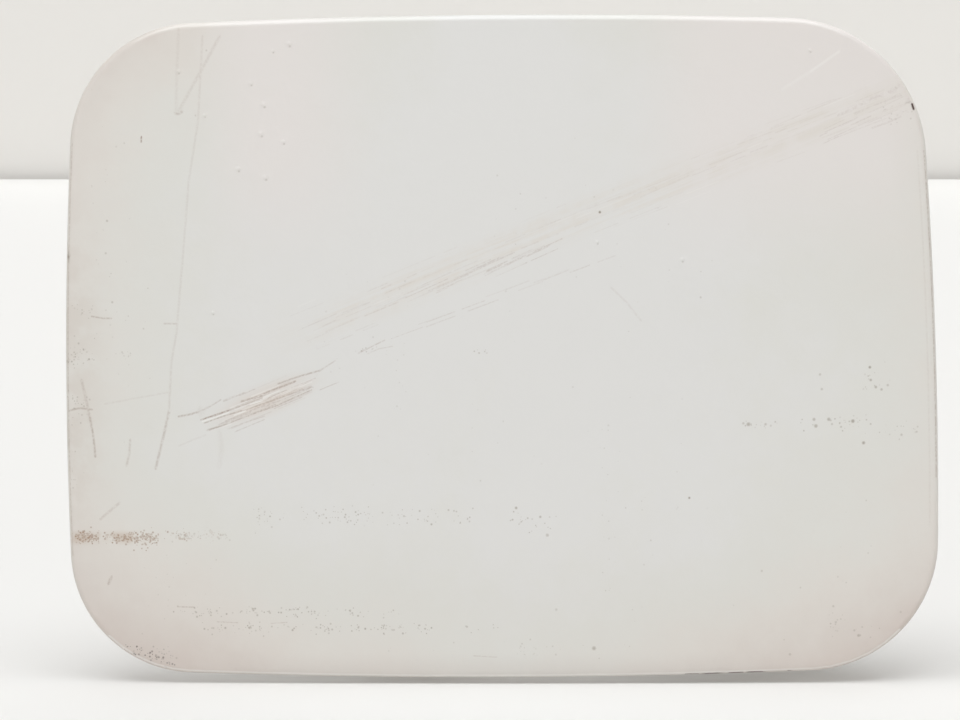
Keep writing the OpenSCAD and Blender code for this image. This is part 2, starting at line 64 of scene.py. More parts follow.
# Parabolas that stand for the crown: x squared and z squared are divided by these
CROWN_X = 5000
CROWN_Z = 3000


def row(points):
    """Leaf millimetres to row metres."""
    return (np.asarray(points, float) + SHIFT) / 1000


# The leaf's outline: four bowed sides joined by four corners

def polar(r, deg):
    a = math.radians(deg)
    return np.array([r * math.cos(a), r * math.sin(a)])


# The sides' centres and radii, and the corners' radii
SIDES = [
    (np.array([91.2, 0]) - polar(1150, 2.25), 1150),
    (np.array([0, 70.0]) - polar(1750, 90.4), 1750),
    (np.array([-92.0, 0]) - polar(1050, 179.65), 1050),
    (np.array([0, -70.0]) - polar(1850, 270.2), 1850),
]
CORNER_R = [30, 26.5, 26, 27.5]


def meet(a, ra, b, rb):
    """Where two circles cross, to the left of the way from a to b."""
    d = np.linalg.norm(b - a)
    e = (b - a) / d
    x = (d * d + ra * ra - rb * rb) / (2 * d)
    return a + x * e + math.sqrt(ra * ra - x * x) * np.array([-e[1], e[0]])


def near(a, target):
    """The same angle, in the turn nearest to the target."""
    return a + 360 * round((target - a) / 360)


def heading(v):
    return math.degrees(math.atan2(v[1], v[0]))


def corners():
    """Each corner's centre, radius, first angle and last angle."""
    out = []
    for i in range(4):
        (a, ra), (b, rb), r = SIDES[i], SIDES[(i + 1) % 4], CORNER_R[i]
        c = meet(a, ra - r, b, rb - r)
        out.append((c, r, near(heading(c - a), 90 * i), near(heading(c - b), 90 * i + 90)))
    return out


def make_rim(side_steps, corner_steps):
    """The outline as rows of centre x, centre z, radius, angle."""
    turns = corners()
    rim = []
    for i in range(4):
        c, r = SIDES[i]
        lo, hi = near(turns[i - 1][3], 90 * i), turns[i][2]
        rim += [(*c, r, lo + (hi - lo) * k / side_steps) for k in range(side_steps)]
        c, r, lo, hi = turns[i]
        rim += [(*c, r, lo + (hi - lo) * k / corner_steps) for k in range(corner_steps)]
    return np.array(rim)


def inset(rim, d):
    """The outline's points, moved inwards by d."""
    a = np.radians(rim[:, 3])
    r = rim[:, 2] - d
    return np.stack([rim[:, 0] + r * np.cos(a), rim[:, 1] + r * np.sin(a)], 1)


def crown(q):
    """How far the face falls back at each (x, z)."""
    q = np.asarray(q, float)
    return q[..., 0] ** 2 / CROWN_X + q[..., 1] ** 2 / CROWN_Z


def lift(q, y):
    """(x, z) points and their y as (x, y, z) points."""
    return np.stack([q[:, 0], np.broadcast_to(y, len(q)), q[:, 1]], 1)


def ring_at(rim, d, depth):
    """The outline moved inwards by d, at that depth behind the crowned face."""
    q = inset(rim, d)
    return lift(q, crown(q) + depth)


# Mesh helpers

def mesh_object(name, points, faces, smooth):
    """A new object, smooth where its faces meet at less than that angle."""
    me = bpy.data.meshes.new(name)
    me.from_pydata([tuple(p) for p in row(points)], [], [list(map(int, f)) for f in faces])
    me.validate()
    bm = bmesh.new()
    bm.from_mesh(me)
    bmesh.ops.recalc_face_normals(bm, faces=bm.faces)
    bm.to_mesh(me)
    bm.free()
    me.shade_smooth()
    me.set_sharp_from_angle(angle=math.radians(smooth))
    o = bpy.data.objects.new(name, me)
    bpy.context.scene.collection.objects.link(o)
    return o


def circle(c, r, n):
    a = np.arange(n) * 2 * math.pi / n
    return np.stack([c[0] + r * np.cos(a), c[1] + r * np.sin(a)], 1)


class Shell:
    """A mesh put together from sheets and rings, with shared places welded."""

    def __init__(self):
        self.points = []
        self.faces = []
        self.index = {}

    def add(self, p):
        key = tuple(np.round(p, 4) + 0.0)
        if key not in self.index:
            self.index[key] = len(self.points)
            self.points.append(p)
        return self.index[key]

    def face(self, loop, flip):
        f = [self.add(p) for p in loop]
        f = [i for k, i in enumerate(f) if i != f[k - 1]]
        if len(f) > 2:
            self.faces.append(f[::-1] if flip else f)

    def between(self, a, b, flip=False):
        """Quads between two closed rings."""
        k = len(a)
        for j in range(k):
            self.face([a[j], a[(j + 1) % k], b[(j + 1) % k], b[j]], flip)

    def stack(self, rings, flip=False):
        for a, b in zip(rings, rings[1:]):
            self.between(a, b, flip)

    def sheet(self, flat, tris, y, flip=False):
        """A flat triangulation, lifted to y."""
        lifted = lift(flat, y)
        for t in tris:
            self.face([lifted[i] for i in t], flip)

    def build(self, name, smooth):
        return mesh_object(name, self.points, self.faces, smooth)


def ring_faces(rings, n):
    """Quads between rings of n points laid one after another."""
    out = []
    for i in range(rings - 1):
        for j in range(n):
            a, b, k = i * n, (i + 1) * n, (j + 1) % n
            out.append((a + j, a + k, b + k, b + j))
    return out


def fan(centre, start, n, flip=False):
    """Triangles from one point to a ring of n points."""
    out = [(centre, start + (j + 1) % n, start + j) for j in range(n)]
    return [f[::-1] for f in out] if flip else out


# Wear and painted light on the painted face, read off the photograph

# Lines as (points, half width, strength), every point as (x, z)
SCRATCHES = [
    ([(-67.9, 67.1), (-68.3, 58), (-68.5, 49.9)], 0.5, 0.12),
    ([(-68.1, 49.6), (-65.0, 55.2), (-62.3, 60), (-59.3, 65.6)], 0.5, 0.2),
    ([(-68.7, 49.5), (-68.0, 49.3), (-67.2, 49.8)], 0.42, 0.4),
    ([(-62.9, 65.6), (-63.9, 47.7), (-65.9, 35.1), (-67.3, 18.2), (-68.6, 3.5)], 0.36, 0.17),
    ([(-68.6, 3.5), (-69.7, -2.8), (-70.3, -13.4)], 0.36, 0.2),
    ([(-70.3, -13.4), (-71.6, -19), (-73.2, -25.4)], 0.42, 0.42),
    ([(-86.5, 6.8), (-84, 6.4), (-82.3, 6.4)], 0.26, 0.5),
    ([(-71.2, 5.3), (-68.6, 5.3)], 0.28, 0.36),
    ([(-88.7, -6.6), (-87.7, -11), (-87.0, -14.6)], 0.42, 0.32),
    ([(-87.0, -14.6), (-86.3, -18.5), (-85.9, -22.9)], 0.34, 0.6),
    ([(-91.4, -13.1), (-89, -12.6), (-86.5, -12.9)], 0.3, 0.5),
    ([(-83.8, -11.7), (-77, -10.4), (-70.5, -9.2)], 0.3, 0.14),
    ([(-78.5, -19.2), (-78.7, -22), (-79.3, -24.8)], 0.36, 0.34),
    ([(-59.6, -17.6), (-59.2, -21), (-59.8, -25.0)], 0.75, 0.09),
    ([(-80.8, -32.6), (-85.0, -36.2)], 0.42, 0.3),
    ([(-68.3, -14.3), (-65.6, -13.8), (-64.4, -13.4)], 0.3, 0.62),
    ([(-64.4, -13.4), (-62, -12.4), (-59.3, -10.7)], 0.22, 0.4),
    ([(-68.4, -20.6), (-65.4, -19.3), (-62.6, -18.2)], 0.25, 0.13),
    ([(22.7, 13.0), (26, 9.8), (29.0, 6.0)], 0.32, 0.14),
    ([(-82.7, -48.4), (-83.4, -50)], 0.45, 0.5),
    ([(70.2, 48.9), (77, 52.3), (84.4, 55.5)], 0.36, 0.24),
    ([(73.5, 49.4), (79, 51.6), (83.6, 53.2)], 0.26, 0.18),
    ([(77.4, 46.4), (80.6, 47.5), (83.4, 48.8)], 0.3, 0.2),
    ([(-75.8, 44.6), (-75.85, 43.4)], 0.24, 1.0),
    ([(-68.8, -54.8), (-65.2, -54.9)], 0.2, 0.5),
    ([(-60.4, -58.0), (-56.0, -58.2)], 0.18, 0.4),
    ([(-49.0, -58.3), (-45.6, -58.1)], 0.18, 0.34),
    ([(-6.2, -65.2), (-1.2, -65.5)], 0.18, 0.3),
]
# The deep lines where the scuff starts
RAKED = [
    ([(-63.6, -15.0), (-57.7, -13.0)], 0.22, 1.0),
    ([(-57.7, -13.0), (-50.7, -10.4)], 0.22, 0.6),
    ([(-55.0, -11.1), (-52.6, -10.4), (-50.7, -9.9)], 0.34, 0.62),
    ([(-50.2, -9.4), (-47.2, -8.2), (-43.6, -6.8)], 0.3, 0.75),
    ([(-47.4, -7.4), (-43.6, -6.0), (-38.5, -4.5)], 0.26, 0.6),
    ([(-38.5, -4.6), (-35.2, -2.4)], 0.22, 0.3),
    ([(-62.9, -15.7), (-58.8, -14.2), (-54.2, -12.8)], 0.17, 0.75),
    ([(-54.2, -12.8), (-50.2, -11.5), (-45.5, -9.8), (-40.2, -8.0)], 0.17, 0.6),
    ([(-62.2, -17.2), (-59.6, -16.4)], 0.3, 0.7),
    ([(-59.6, -16.4), (-56.9, -15.4), (-51.2, -13.2)], 0.18, 0.6),
    ([(-51.2, -13.2), (-47.4, -11.9), (-44.0, -10.3), (-40.2, -8.6)], 0.18, 0.65),
    ([(-57.9, -16.9), (-54.5, -15.6), (-50.2, -14.2)], 0.16, 0.35),
    ([(-49.4, -10.4), (-44.8, -8.4), (-41.4, -7.2)], 0.16, 0.5),
    ([(-30.4, -0.9), (-27.5, 0.6), (-24.8, 1.9)], 0.2, 0.42),
    ([(-28.5, -1.0), (-26.0, 0.1), (-23.2, 0.6)], 0.18, 0.24),
]
# Pale lines, and the bright lips of the deep ones
LIGHT_LINES = [
    ([(58.5, 54.5), (64.4, 58.2)], 0.5, 0.16),
    ([(64.4, 58.2), (70.4, 62.4)], 0.42, 0.3),
    ([(-63.3, -15.4), (-60.5, -14.4), (-57.6, -13.4)], 0.13, 0.9),
    ([(-56.6, -14.0), (-54.2, -13.1)], 0.22, 0.8),
    ([(-53.2, -11.7), (-50.6, -10.9)], 0.15, 0.8),
    ([(-50.4, -10.2), (-47.0, -8.8)], 0.14, 0.7),
    ([(-45.4, -8.6), (-41.8, -7.3)], 0.14, 0.55),
    ([(-60.8, -17.0), (-57.2, -15.9)], 0.13, 0.4),
]
# Dots as (x, z, radius, strength)
SPECKS = [
    (20.3, 28.8, 0.4, 1.0), (2.8, -33.6, 0.42, 0.7), (7.9, -35.5, 0.4, 0.55), (9.4, -39.4, 0.5, 0.45),
    (39.3, -31.5, 0.36, 0.85), (19.3, -63.6, 0.62, 0.6), (54.7, -47.1, 0.36, 0.35), (62.9, -50.7, 0.3, 0.3),
    (69.9, -54.7, 0.36, 0.4), (75.3, -61.0, 0.45, 0.55), (74.4, -59.9, 0.35, 0.4), (84.2, -56.0, 0.35, 0.3),
    (60.8, -65.0, 0.42, 0.4), (11.3, -55.3, 0.4, 0.3), (-83.1, 26.9, 0.36, 0.45), (-82.1, 9.8, 0.36, 0.4),
    (-83.4, 20.1, 0.36, 0.35), (51.7, -15.9, 0.6, 0.62), (50.6, -15.7, 0.4, 0.4), (55.3, -15.9, 0.42, 0.45),
    (56.4, -16.2, 0.35, 0.3), (65.5, -14.9, 0.5, 0.55), (65.9, -16.3, 0.55, 0.62), (68.6, -14.9, 0.5, 0.6),
    (69.3, -15.9, 0.35, 0.4), (73.7, -15.3, 0.55, 0.75), (76.0, -19.9, 0.5, 0.75), (78.5, -8.1, 0.42, 0.6),
    (79.7, -8.6, 0.4, 0.5), (81.0, -7.7, 0.4, 0.4), (77.2, -3.9, 0.42, 0.8), (77.4, -6.6, 0.4, 0.6),
    (66.7, -5.4, 0.4, 0.4), (67.1, -8.5, 0.4, 0.4), (84.0, -18.2, 0.4, 0.4), (87.4, -16.5, 0.3, 0.3),
    (-62.1, 62.6, 0.3, 0.3), (41.5, 10.9, 0.35, 0.35), (-1.2, 36.5, 0.3, 0.25), (0.6, 12.2, 0.3, 0.2),
    (-91.3, 19.3, 0.5, 0.8), (-64.4, 49.0, 0.3, 0.3), (-79.4, 43.2, 0.3, 0.25),
]
# Raised nibs in the paint, as (x, z, radius)
NIBS = [
    (-44.8, 64.0, 0.8), (-48.2, 62.5, 0.55), (-52.8, 55.7, 0.6), (-50.1, 51.3, 0.8), (-50.7, 45.2, 0.8),
    (-46.0, 43.5, 0.65), (-55.5, 37.8, 0.7), (-49.8, 36.1, 0.8), (-62.5, 49.0, 0.5), (64.3, 62.6, 0.5),
    (19.8, 22.5, 0.5), (37.6, 18.8, 0.6), (-68.0, 58.2, 0.6), (-60.9, 7.6, 0.5),
]
NIB_HIGH = 0.12
# How far a nib's foot reaches past its radius
NIB_FOOT = 1.1
# Chips along the edges, as (points, half width, strength)
CHIPS = [
    ([(85.75, 51.4), (85.95, 50.8), (86.1, 50.3)], 0.36, 1.0),
    ([(38.6, -69.25), (41.5, -69.2)], 0.16, 0.7),
    ([(43.0, -69.15), (45.8, -69.08)], 0.2, 0.85),
    ([(48.0, -69.0), (50.9, -68.9)], 0.18, 0.85),
    ([(52.0, -68.88), (55.0, -68.8)], 0.22, 0.95),
    ([(60.4, -68.6), (60.9, -68.58)], 0.2, 0.8),
]
CHIP_DEEP = 0.07
# Small chips at the lower left corner, as (from x, to x, z, spread, how many, strength)
CORNER_CHIPS = [
    (-80.2, -79.2, -63.3, 0.35, 5, 0.7),
    (-77.8, -76.6, -64.4, 0.45, 8, 0.85),
    (-75.2, -74.2, -65.0, 0.45, 8, 0.9),
    (-73.4, -71.8, -66.1, 0.4, 8, 0.6),
    (-71.2, -69.0, -66.9, 0.4, 9, 0.55),
    (-78, -69, -64.4, 0.9, 16, 0.4),
]
# Road grit in rows, as (from x, to x, z, spread, how many, strength)
GRIT = [
    (-53, -7, -35.4, 1.1, 120, 0.5),
    (-70, -21, -55.9, 0.6, 110, 0.56),
    (-64, -1, -59.3, 0.6, 130, 0.56),
    (-6, -2, -0.3, 0.3, 9, 0.5),
    (-30, -26.5, 0.0, 0.3, 9, 0.45),
    (3, 12, -36.6, 1.3, 22, 0.5),
    (50, 58, -16.0, 0.4, 14, 0.45),
    (62, 76, -15.6, 0.8, 30, 0.42),
    (76, 88, -17.5, 0.9, 16, 0.35),
    (76, 83, -6.6, 1.2, 12, 0.36),
    (-69, -58, -39.6, 0.5, 40, 0.32),
    (68, 80, -59, 1.6, 24, 0.34),
    (-79, -68, -65.4, 0.8, 30, 0.4),
    (-84, -70, 2, 14, 18, 0.3),
    (-30, 30, -64, 1.0, 30, 0.28),
    (20, 80, -45, 9, 34, 0.26),
    (-40, 60, -25, 12, 40, 0.2),
    (-86, -82, 25, 14, 18, 0.28),
    (-91.7, -86, 8.3, 0.8, 14, 0.35),
    (-91.7, -87, -1.4, 1.3, 44, 0.5),
    (-91.7, -88, -11.9, 1.5, 30, 0.48),
    (-89, -78, -1.2, 0.3, 16, 0.3),
    (-91.5, -88, -25, 3, 14, 0.34),
    (79, 86, 49, 1.2, 22, 0.24),
    (82, 87, 56, 2, 12, 0.22),
    (-80, -60, -50, 6, 26, 0.22),
    (-44, -20, 2, 8, 30, 0.2),
    (-4, 50, 22, 9, 34, 0.2),
]
# The brown streak by the latch edge is the same thing, much denser
STREAK = [
    (-89.8, -85.6, -39.8, 0.75, 110, 0.66),
    (-82.6, -73.0, -40.3, 0.75, 170, 0.6),
    (-90, -72.5, -40.1, 0.4, 120, 0.55),
    (-70.3, -66.4, -39.7, 0.6, 36, 0.5),
    (-65.7, -59.2, -39.5, 0.6, 26, 0.25),
]
SCUFF = ((-44.0, 3.4), (86.0, 55.4))
# Bundles of fine scratches, as (from, to, spread, how many, strength, longest)
DARK_THREADS = [
    (*SCUFF, 2.4, 30, 0.13, 22),
    ((-42.0, 3.2), (-16.0, 14.5), 1.5, 12, 0.2, 9),
    ((46.0, 40.0), (85.0, 55.0), 3.0, 12, 0.13, 14),
    ((-32.5, -0.9), (20.6, 18.9), 0.5, 10, 0.22, 14),
    ((-20.5, 10.3), (1.5, 20.0), 1.0, 16, 0.3, 9),
    ((-4.5, 15.6), (8.0, 21.4), 0.7, 6, 0.34, 22),
    ((66.0, 44.6), (85.0, 53.4), 1.0, 6, 0.24, 22),
    ((-63.0, -16.4), (-38.5, -6.4), 1.6, 34, 0.36, 13),
]
LIGHT_THREADS = [
    (*SCUFF, 2.4, 8, 0.16, 22),
    ((-63.0, -16.4), (-40.0, -7.0), 1.4, 12, 0.4, 8),
]
# Painted shade in the turn of the hem at the two ends, as (side, from z, to z, inset, half width, strength)
HEM_SHADE_LINES = [
    (1, -30, 50, 0.5, 0.22, 0.5),
    (-1, -52, 48, 0.5, 0.2, 0.36),
    (1, -40, 46, 1.9, 0.3, 0.12),
]
# A painted highlight along the bottom, where the rolled edge catches light, as (from x, to x, inset, half
# width, strength)
HEM_FOOT_HIGHLIGHT = (-84, 86, 0.55, 0.34, 0.5)


def sow(rng, x0, x1, z, spread, count, power):
    """Grains in a row, thicker in some places than in others."""
    out = []
    knots = rng.uniform(x0, x1, max(2, count // 9))
    for _ in range(count):
        x = rng.uniform(x0, x1) if rng.random() < 0.4 else rng.choice(knots) + rng.normal(0, 0.9)
        r = 0.13 + 0.2 * rng.random() ** 2
        out.append((x, z + rng.normal(0, spread), r, power * rng.uniform(0.5, 1.3)))
    return out


def threads(rng, a, b, spread, count, power, longest):
    """Fine scratches that run side by side from a to b, each broken in places."""
    a, b = np.array(a), np.array(b)
    d = (b - a) / np.linalg.norm(b - a)
    side = np.array([-d[1], d[0]])
    reach = np.linalg.norm(b - a)
    out = []
    for _ in range(count):
        length = min(rng.uniform(0.2, 1) * longest, reach)
        at = rng.uniform(0, max(reach - length, 1))
        off = np.clip(rng.normal(0, spread), -2.2 * spread, 2.2 * spread)
        turn = rng.normal(0, 0.012)
        width = rng.uniform(0.13, 0.22)
        s = 0
        while s < length:
            piece = rng.uniform(1.5, 8)
            ends = [a + d * (at + t) + side * (off + turn * t) for t in (s, s + piece)]
            out.append(([tuple(p) for p in ends], width, power * rng.uniform(0.3, 1.25)))
            s += piece + rng.uniform(0.1, 4)
    return out


def hem_shade_line(side, z0, z1, d, width, power):
    """A painted shade line along one end of the leaf, where the face turns into the hem."""
    points = [tuple(p) for p in inset(make_rim(24, 4), d) if p[0] * side > 60 and z0 < p[1] < z1]
    return (sorted(points, key=lambda p: p[1]), width, power)


def hem_foot_highlight(x0, x1, d, width, power):
    """A painted highlight along the bottom edge, where the face turns into the hem."""
    points = [tuple(p) for p in inset(make_rim(24, 10), d) if p[1] < -50 and x0 < p[0] < x1]
    return (sorted(points), width, power)


dice = np.random.default_rng(5)
grains = [grain for patch in GRIT for grain in sow(dice, *patch)]
rust_grains = [grain for patch in STREAK + CORNER_CHIPS for grain in sow(dice, *patch)]
fine_dark = [line for bundle in DARK_THREADS for line in threads(dice, *bundle)]
# The painted shade lines at the hem's ends join the dark scratches
fine_dark += [hem_shade_line(*line) for line in HEM_SHADE_LINES]
fine_light = [line for bundle in LIGHT_THREADS for line in threads(dice, *bundle)]
# The painted highlight along the bottom joins the pale lines
fine_light += [hem_foot_highlight(*HEM_FOOT_HIGHLIGHT)]
# A painted shade dot below and to the right of each nib, on its shaded side
nib_shade = [(x + 0.25 * r, z - 0.7 * r, 0.45 * r, 0.32) for x, z, r in NIBS]
# Each kind of wear and painted light, with its lines and its dots
WEAR_AND_PAINTED_LIGHT = {
    "scratch_and_hem_shade": (SCRATCHES + RAKED + fine_dark, []),
    "light": (LIGHT_LINES + fine_light, []),
    "grit_and_nib_shade": ([], SPECKS + grains + nib_shade),
    "rust": (CHIPS, rust_grains),
}


def near_lines(q, lines):
    """The strongest of the lines at each place, each fading over its outer three quarters."""
    out = np.zeros(len(q))
    for points, width, power in lines:
        for a, b in zip(points, points[1:]):
            d = np.subtract(b, a)
            t = np.clip((q - a) @ d / (d @ d), 0, 1)
            r = np.linalg.norm(q - a - t[:, None] * d, axis=1)
            out = np.maximum(out, power * np.clip((width - r) / (0.75 * width), 0, 1))
    return out


def near_dots(q, dots):
    """The strongest of the dots at each place, each fading towards its rim."""
    out = np.zeros(len(q))
    for x, z, r, power in dots:
        away = np.hypot(q[:, 0] - x, q[:, 1] - z)
        out = np.maximum(out, power * np.clip((r - away) / (0.65 * r), 0, 1))
    return out


def ribbon(points, width):
    """A closed outline at that distance round a line."""
    path = [np.array(points[0], float)]
    for a, b in zip(points, points[1:]):
        steps = max(1, round(math.dist(a, b) / 1.8))
        path += [np.array(a) + (np.array(b) - np.array(a)) * k / steps for k in range(1, steps + 1)]
    path = np.array(path)
    d = np.gradient(path, axis=0)
    d /= np.linalg.norm(d, axis=1)[:, None]
    side = np.stack([-d[:, 1], d[:, 0]], 1) * width
    tip = path[-1] + d[-1] * width
    tail = path[0] - d[0] * width
    return np.concatenate([path + side, [tip], (path - side)[::-1], [tail]])


def supports():
    """Closed outlines that the mesh needs to carry the wear and painted light: round lines, dots and nibs.
    """
    out = []
    for lines, dots in WEAR_AND_PAINTED_LIGHT.values():
        for points, width, _ in lines:
            out += [ribbon(points, width), ribbon(points, width / 4)]
        for x, z, r, _ in dots:
            out += [circle((x, z), r, 6), circle((x, z), 0.35 * r, 4)]
    for x, z, r in NIBS:
        out += [circle((x, z), r * k, 12) for k in (0.15, 0.4, 0.65, 0.9, NIB_FOOT)]
    return out


# Outer panel

# How far in from the outline the face's mesh ends and its rings lie, and its grid's spacing
FRONT_EDGE = 0.12
FACE_RINGS = (FRONT_EDGE, 0.3, 0.5, 0.75, 1.0, 1.25, 1.6, 2.4, 4, 6.5, 10)
GRID_X = 2.6
GRID_Z = 2.3


def depth_inside(q):
    """How far each place lies inside the outline."""
    out = np.full(len(q), np.inf)
    for c, r in SIDES:
        out = np.minimum(out, r - np.linalg.norm(q - c, axis=1))
    for i, (c, r, lo, hi) in enumerate(corners()):
        a = np.degrees(np.arctan2(q[:, 1] - c[1], q[:, 0] - c[0]))
        a = a + 360 * np.round(((lo + hi) / 2 - a) / 360)
        out = np.where((a >= lo) & (a <= hi), r - np.linalg.norm(q - c, axis=1), out)
    return out


def face_height(q):
    """The painted face: the crown, its turn into the hem, and the nibs and chips in it."""
    d = np.maximum(HEM_R - depth_inside(q), 0)
    y = crown(q) + HEM_R - np.sqrt(HEM_R ** 2 - d ** 2)
    for x, z, r in NIBS:
        t = np.hypot(q[:, 0] - x, q[:, 1] - z) / r
        rise = np.cos(np.minimum(t, NIB_FOOT) / NIB_FOOT * math.pi) * 0.5 + 0.5
        y = y - NIB_HIGH * np.where(t < NIB_FOOT, rise, 0)
    return y + CHIP_DEEP * near_lines(q, CHIPS)


def face_mesh(rim):
    """The painted face as a flat triangulation that holds the outlines of the wear."""
    n = len(rim)
    grid = np.array([(x + GRID_X / 2 * (k % 2), z) for x in np.arange(-91, 92, GRID_X)
                     for k, z in enumerate(np.arange(-69, 70, GRID_Z))])
    grid = grid[depth_inside(grid) > 11]
    coords = [inset(rim, d) for d in FACE_RINGS] + [grid]
    edges = [(j, (j + 1) % n) for j in range(n)]
    count = sum(len(c) for c in coords)
    for loop in supports():
        inside = depth_inside(loop) > FRONT_EDGE + 0.04
        if inside.all():
            edges += [(count + k, count + (k + 1) % len(loop)) for k in range(len(loop))]
        coords.append(loop[inside])
        count += inside.sum()
    found = delaunay_2d_cdt([Vector(c) for c in np.concatenate(coords)], edges, [], 0, 1e-6)
    return np.array([tuple(v) for v in found[0]]), found[2]


def skin_rings(rim):
    """Rings from the face's edge round the hem, and back inside to the middle of the skin."""
    fold = HEM_R - SKIN
    edge = SKIN / 2
    outline = inset(rim, FRONT_EDGE)
    rings = [lift(outline, face_height(outline))]
    dip = HEM_R - math.sqrt(HEM_R ** 2 - (HEM_R - FRONT_EDGE) ** 2)
    first = math.degrees(math.acos(1 - dip / HEM_R))
    for a in np.radians(np.linspace(first, 180, 13)[1:]):
        rings.append(ring_at(rim, HEM_R - HEM_R * math.sin(a), HEM_R - HEM_R * math.cos(a)))
    rings += [ring_at(rim, d, 2 * HEM_R) for d in (2, 4, 6, HEM_W - edge)]
    for a in np.radians((30, 60, 90, 120, 150)):
        d = HEM_W - edge + edge * math.sin(a)
        rings.append(ring_at(rim, d, 2 * HEM_R - edge + edge * math.cos(a)))
    rings += [ring_at(rim, d, 2 * HEM_R - SKIN) for d in (HEM_W - edge, 4)]
    for a in np.radians((180, 135, 90, 45, 0)):
        rings.append(ring_at(rim, HEM_R - fold * math.sin(a), HEM_R - fold * math.cos(a)))
    for share in (1, 0.75, 0.5, 0.25, 0):
        q = inset(rim, WALL) * share
        rings.append(lift(q, crown(q) + SKIN))
    return rings


def outer_panel():
    """The painted skin with its hem, and how strong each kind of wear and painted light is at each point.
    """
    rim = make_rim(64, 44)
    flat, tris = face_mesh(rim)
    shell = Shell()
    shell.sheet(flat, tris, face_height(flat), True)
    shell.stack(skin_rings(rim))
    o = shell.build("outer_skin", 50)
    q = np.array(shell.points)[:, [0, 2]]
    face = (np.array(shell.points)[:, 1] < crown(q) + HEM_R + 0.05).astype(float)
    values = {name: face * np.maximum(near_lines(q, lines), near_dots(q, dots))
              for name, (lines, dots) in WEAR_AND_PAINTED_LIGHT.items()}
    values["face"] = face
    for name, value in values.items():
        o.data.attributes.new(name, "FLOAT", "POINT").data.foreach_set("value", value)
    return o


# Inner panel

# Holes as (x, z) of their middles
LIGHT_HOLES = [(-44, 22), (-18, 22), (8, 22), (10, -22), (-46, -24)]
SCREWS = [(38, 12), (38, -12)]
RIVETS = [(-61.5, 5), (-61.5, -5)]
BUFFERS = [(-66, 38), (-66, -38), (46, 42), (46, -42)]
CAP_STEMS = [(-30, -24), (-8, -24)]
SMALL_HOLES = (
    [(p, 3.2) for p in SCREWS]
    + [(p, 1.65) for p in RIVETS]
    + [(p, 2.45) for p in BUFFERS + CAP_STEMS]
)
# The lightening holes' rounded lip, as (radius, drop towards the front)
LIP = [(10.2, 0), (9.7, 0.05), (9.2, 0.2), (8.75, 0.46), (8.35, 0.85), (8.1, 1.3), (8, 1.7), (8, 2)]
LIP_R = LIP[0][0]
ALL_HOLES = [(c, LIP_R) for c in LIGHT_HOLES] + SMALL_HOLES
RIB_HALF = 42
RIB_X = -6
RIB_Z = 44
RIB_RISE = 1.6
RIB_R = 5.2
RIB_SLOPE = 2.9


def stadium(cx, cz, half, r):
    """A closed outline with two straight sides and two round ends."""
    out = []
    for sign in (1, -1):
        out += [(cx - sign * half + 2 * sign * half * k / 24, cz - sign * r) for k in range(24)]
        out += [tuple(polar(r, 15 * k - 90 * sign) + (cx + sign * half, cz)) for k in range(12)]
    return np.array(out)


def rib_height(q):
    """How far the ribs stand off the flat field at each (x, z)."""
    x = np.abs(q[:, 0] - RIB_X) - RIB_HALF
    h = np.zeros(len(q))
    for cz in (RIB_Z, -RIB_Z):
        r = np.hypot(np.maximum(x, 0), q[:, 1] - cz)
        t = np.clip((RIB_R - r) / RIB_SLOPE, 0, 1)
        h = np.maximum(h, RIB_RISE * t * t * (3 - 2 * t))
    return h


def flange_and_wall(rim, offset):
    """Rings from the inner sheet's edge to its flat field, that far in front of its back."""
    depth = SKIN + SHEET_GAP + (INNER - offset)
    rings = [ring_at(rim, d, depth) for d in (FLANGE, 4, 6.3, 9)]
    foot_at = crown(inset(rim, WALL)) + 2 * HEM_R - SKIN - SHEET_GAP
    rise = FIELD_Y - foot_at
    for share in np.linspace(0, 1, 11):
        y = foot_at + rise * share * share * (3 - 2 * share)
        lean = np.arctan(rise * 6 * share * (1 - share) / (FIELD - WALL))
        q = inset(rim, WALL + (FIELD - WALL) * share + offset * np.sin(lean))
        rings.append(lift(q, y - offset * np.cos(lean)))
    return rings


def field_mesh(rim):
    """The flat field, as a triangulation held to the ribs' and the holes' outlines."""
    loops = [inset(rim, FIELD)]
    loops += [stadium(RIB_X, z, RIB_HALF, r) for z in (RIB_Z, -RIB_Z)
              for r in (RIB_R, 4.7, 4.2, 3.75, 3.3, 2.8, RIB_R - RIB_SLOPE, 1.1)]
    loops += [circle(c, LIP_R, 48) for c in LIGHT_HOLES]
    loops += [circle(c, r, 24) for c, r in SMALL_HOLES]
    coords, edges = [], []
    for loop in loops:
        base = len(coords)
        coords += [tuple(p) for p in loop]
        edges += [(base + k, base + (k + 1) % len(loop)) for k in range(len(loop))]
    coords += [(x, z) for x in range(-70, 74, 8) for z in (-34, -28, -12, -4, 4, 12, 34)
               if all(np.hypot(x - c[0], z - c[1]) > r + 2.5 for c, r in ALL_HOLES)]
    found = delaunay_2d_cdt([Vector(c) for c in coords], edges, [], 0, 1e-7)
    flat, tris = np.array([tuple(v) for v in found[0]]), found[2]
    centres = np.array([flat[list(t)].mean(0) for t in tris])
    keep = np.ones(len(tris), bool)
    for c, r in ALL_HOLES:
        keep &= np.hypot(centres[:, 0] - c[0], centres[:, 1] - c[1]) > r - 0.01
    return flat, [t for t, k in zip(tris, keep) if k]


def hole_lip(shell, c):
    """The rounded lip of one lightening hole, with the sheet's thickness."""
    outer = [lift(circle(c, r, 48), FIELD_Y - drop) for r, drop in LIP]
    inner = [lift(circle(c, r + (INNER if drop > 0.4 else INNER * drop / 0.46), 48),
                  FIELD_Y - INNER * max(0, 1 - drop / 1.7) - drop) for r, drop in LIP]
    inner[0] = lift(circle(c, LIP_R, 48), FIELD_Y - INNER)
    shell.stack(outer, True)
    shell.stack(inner)
    shell.between(outer[-1], inner[-1], True)


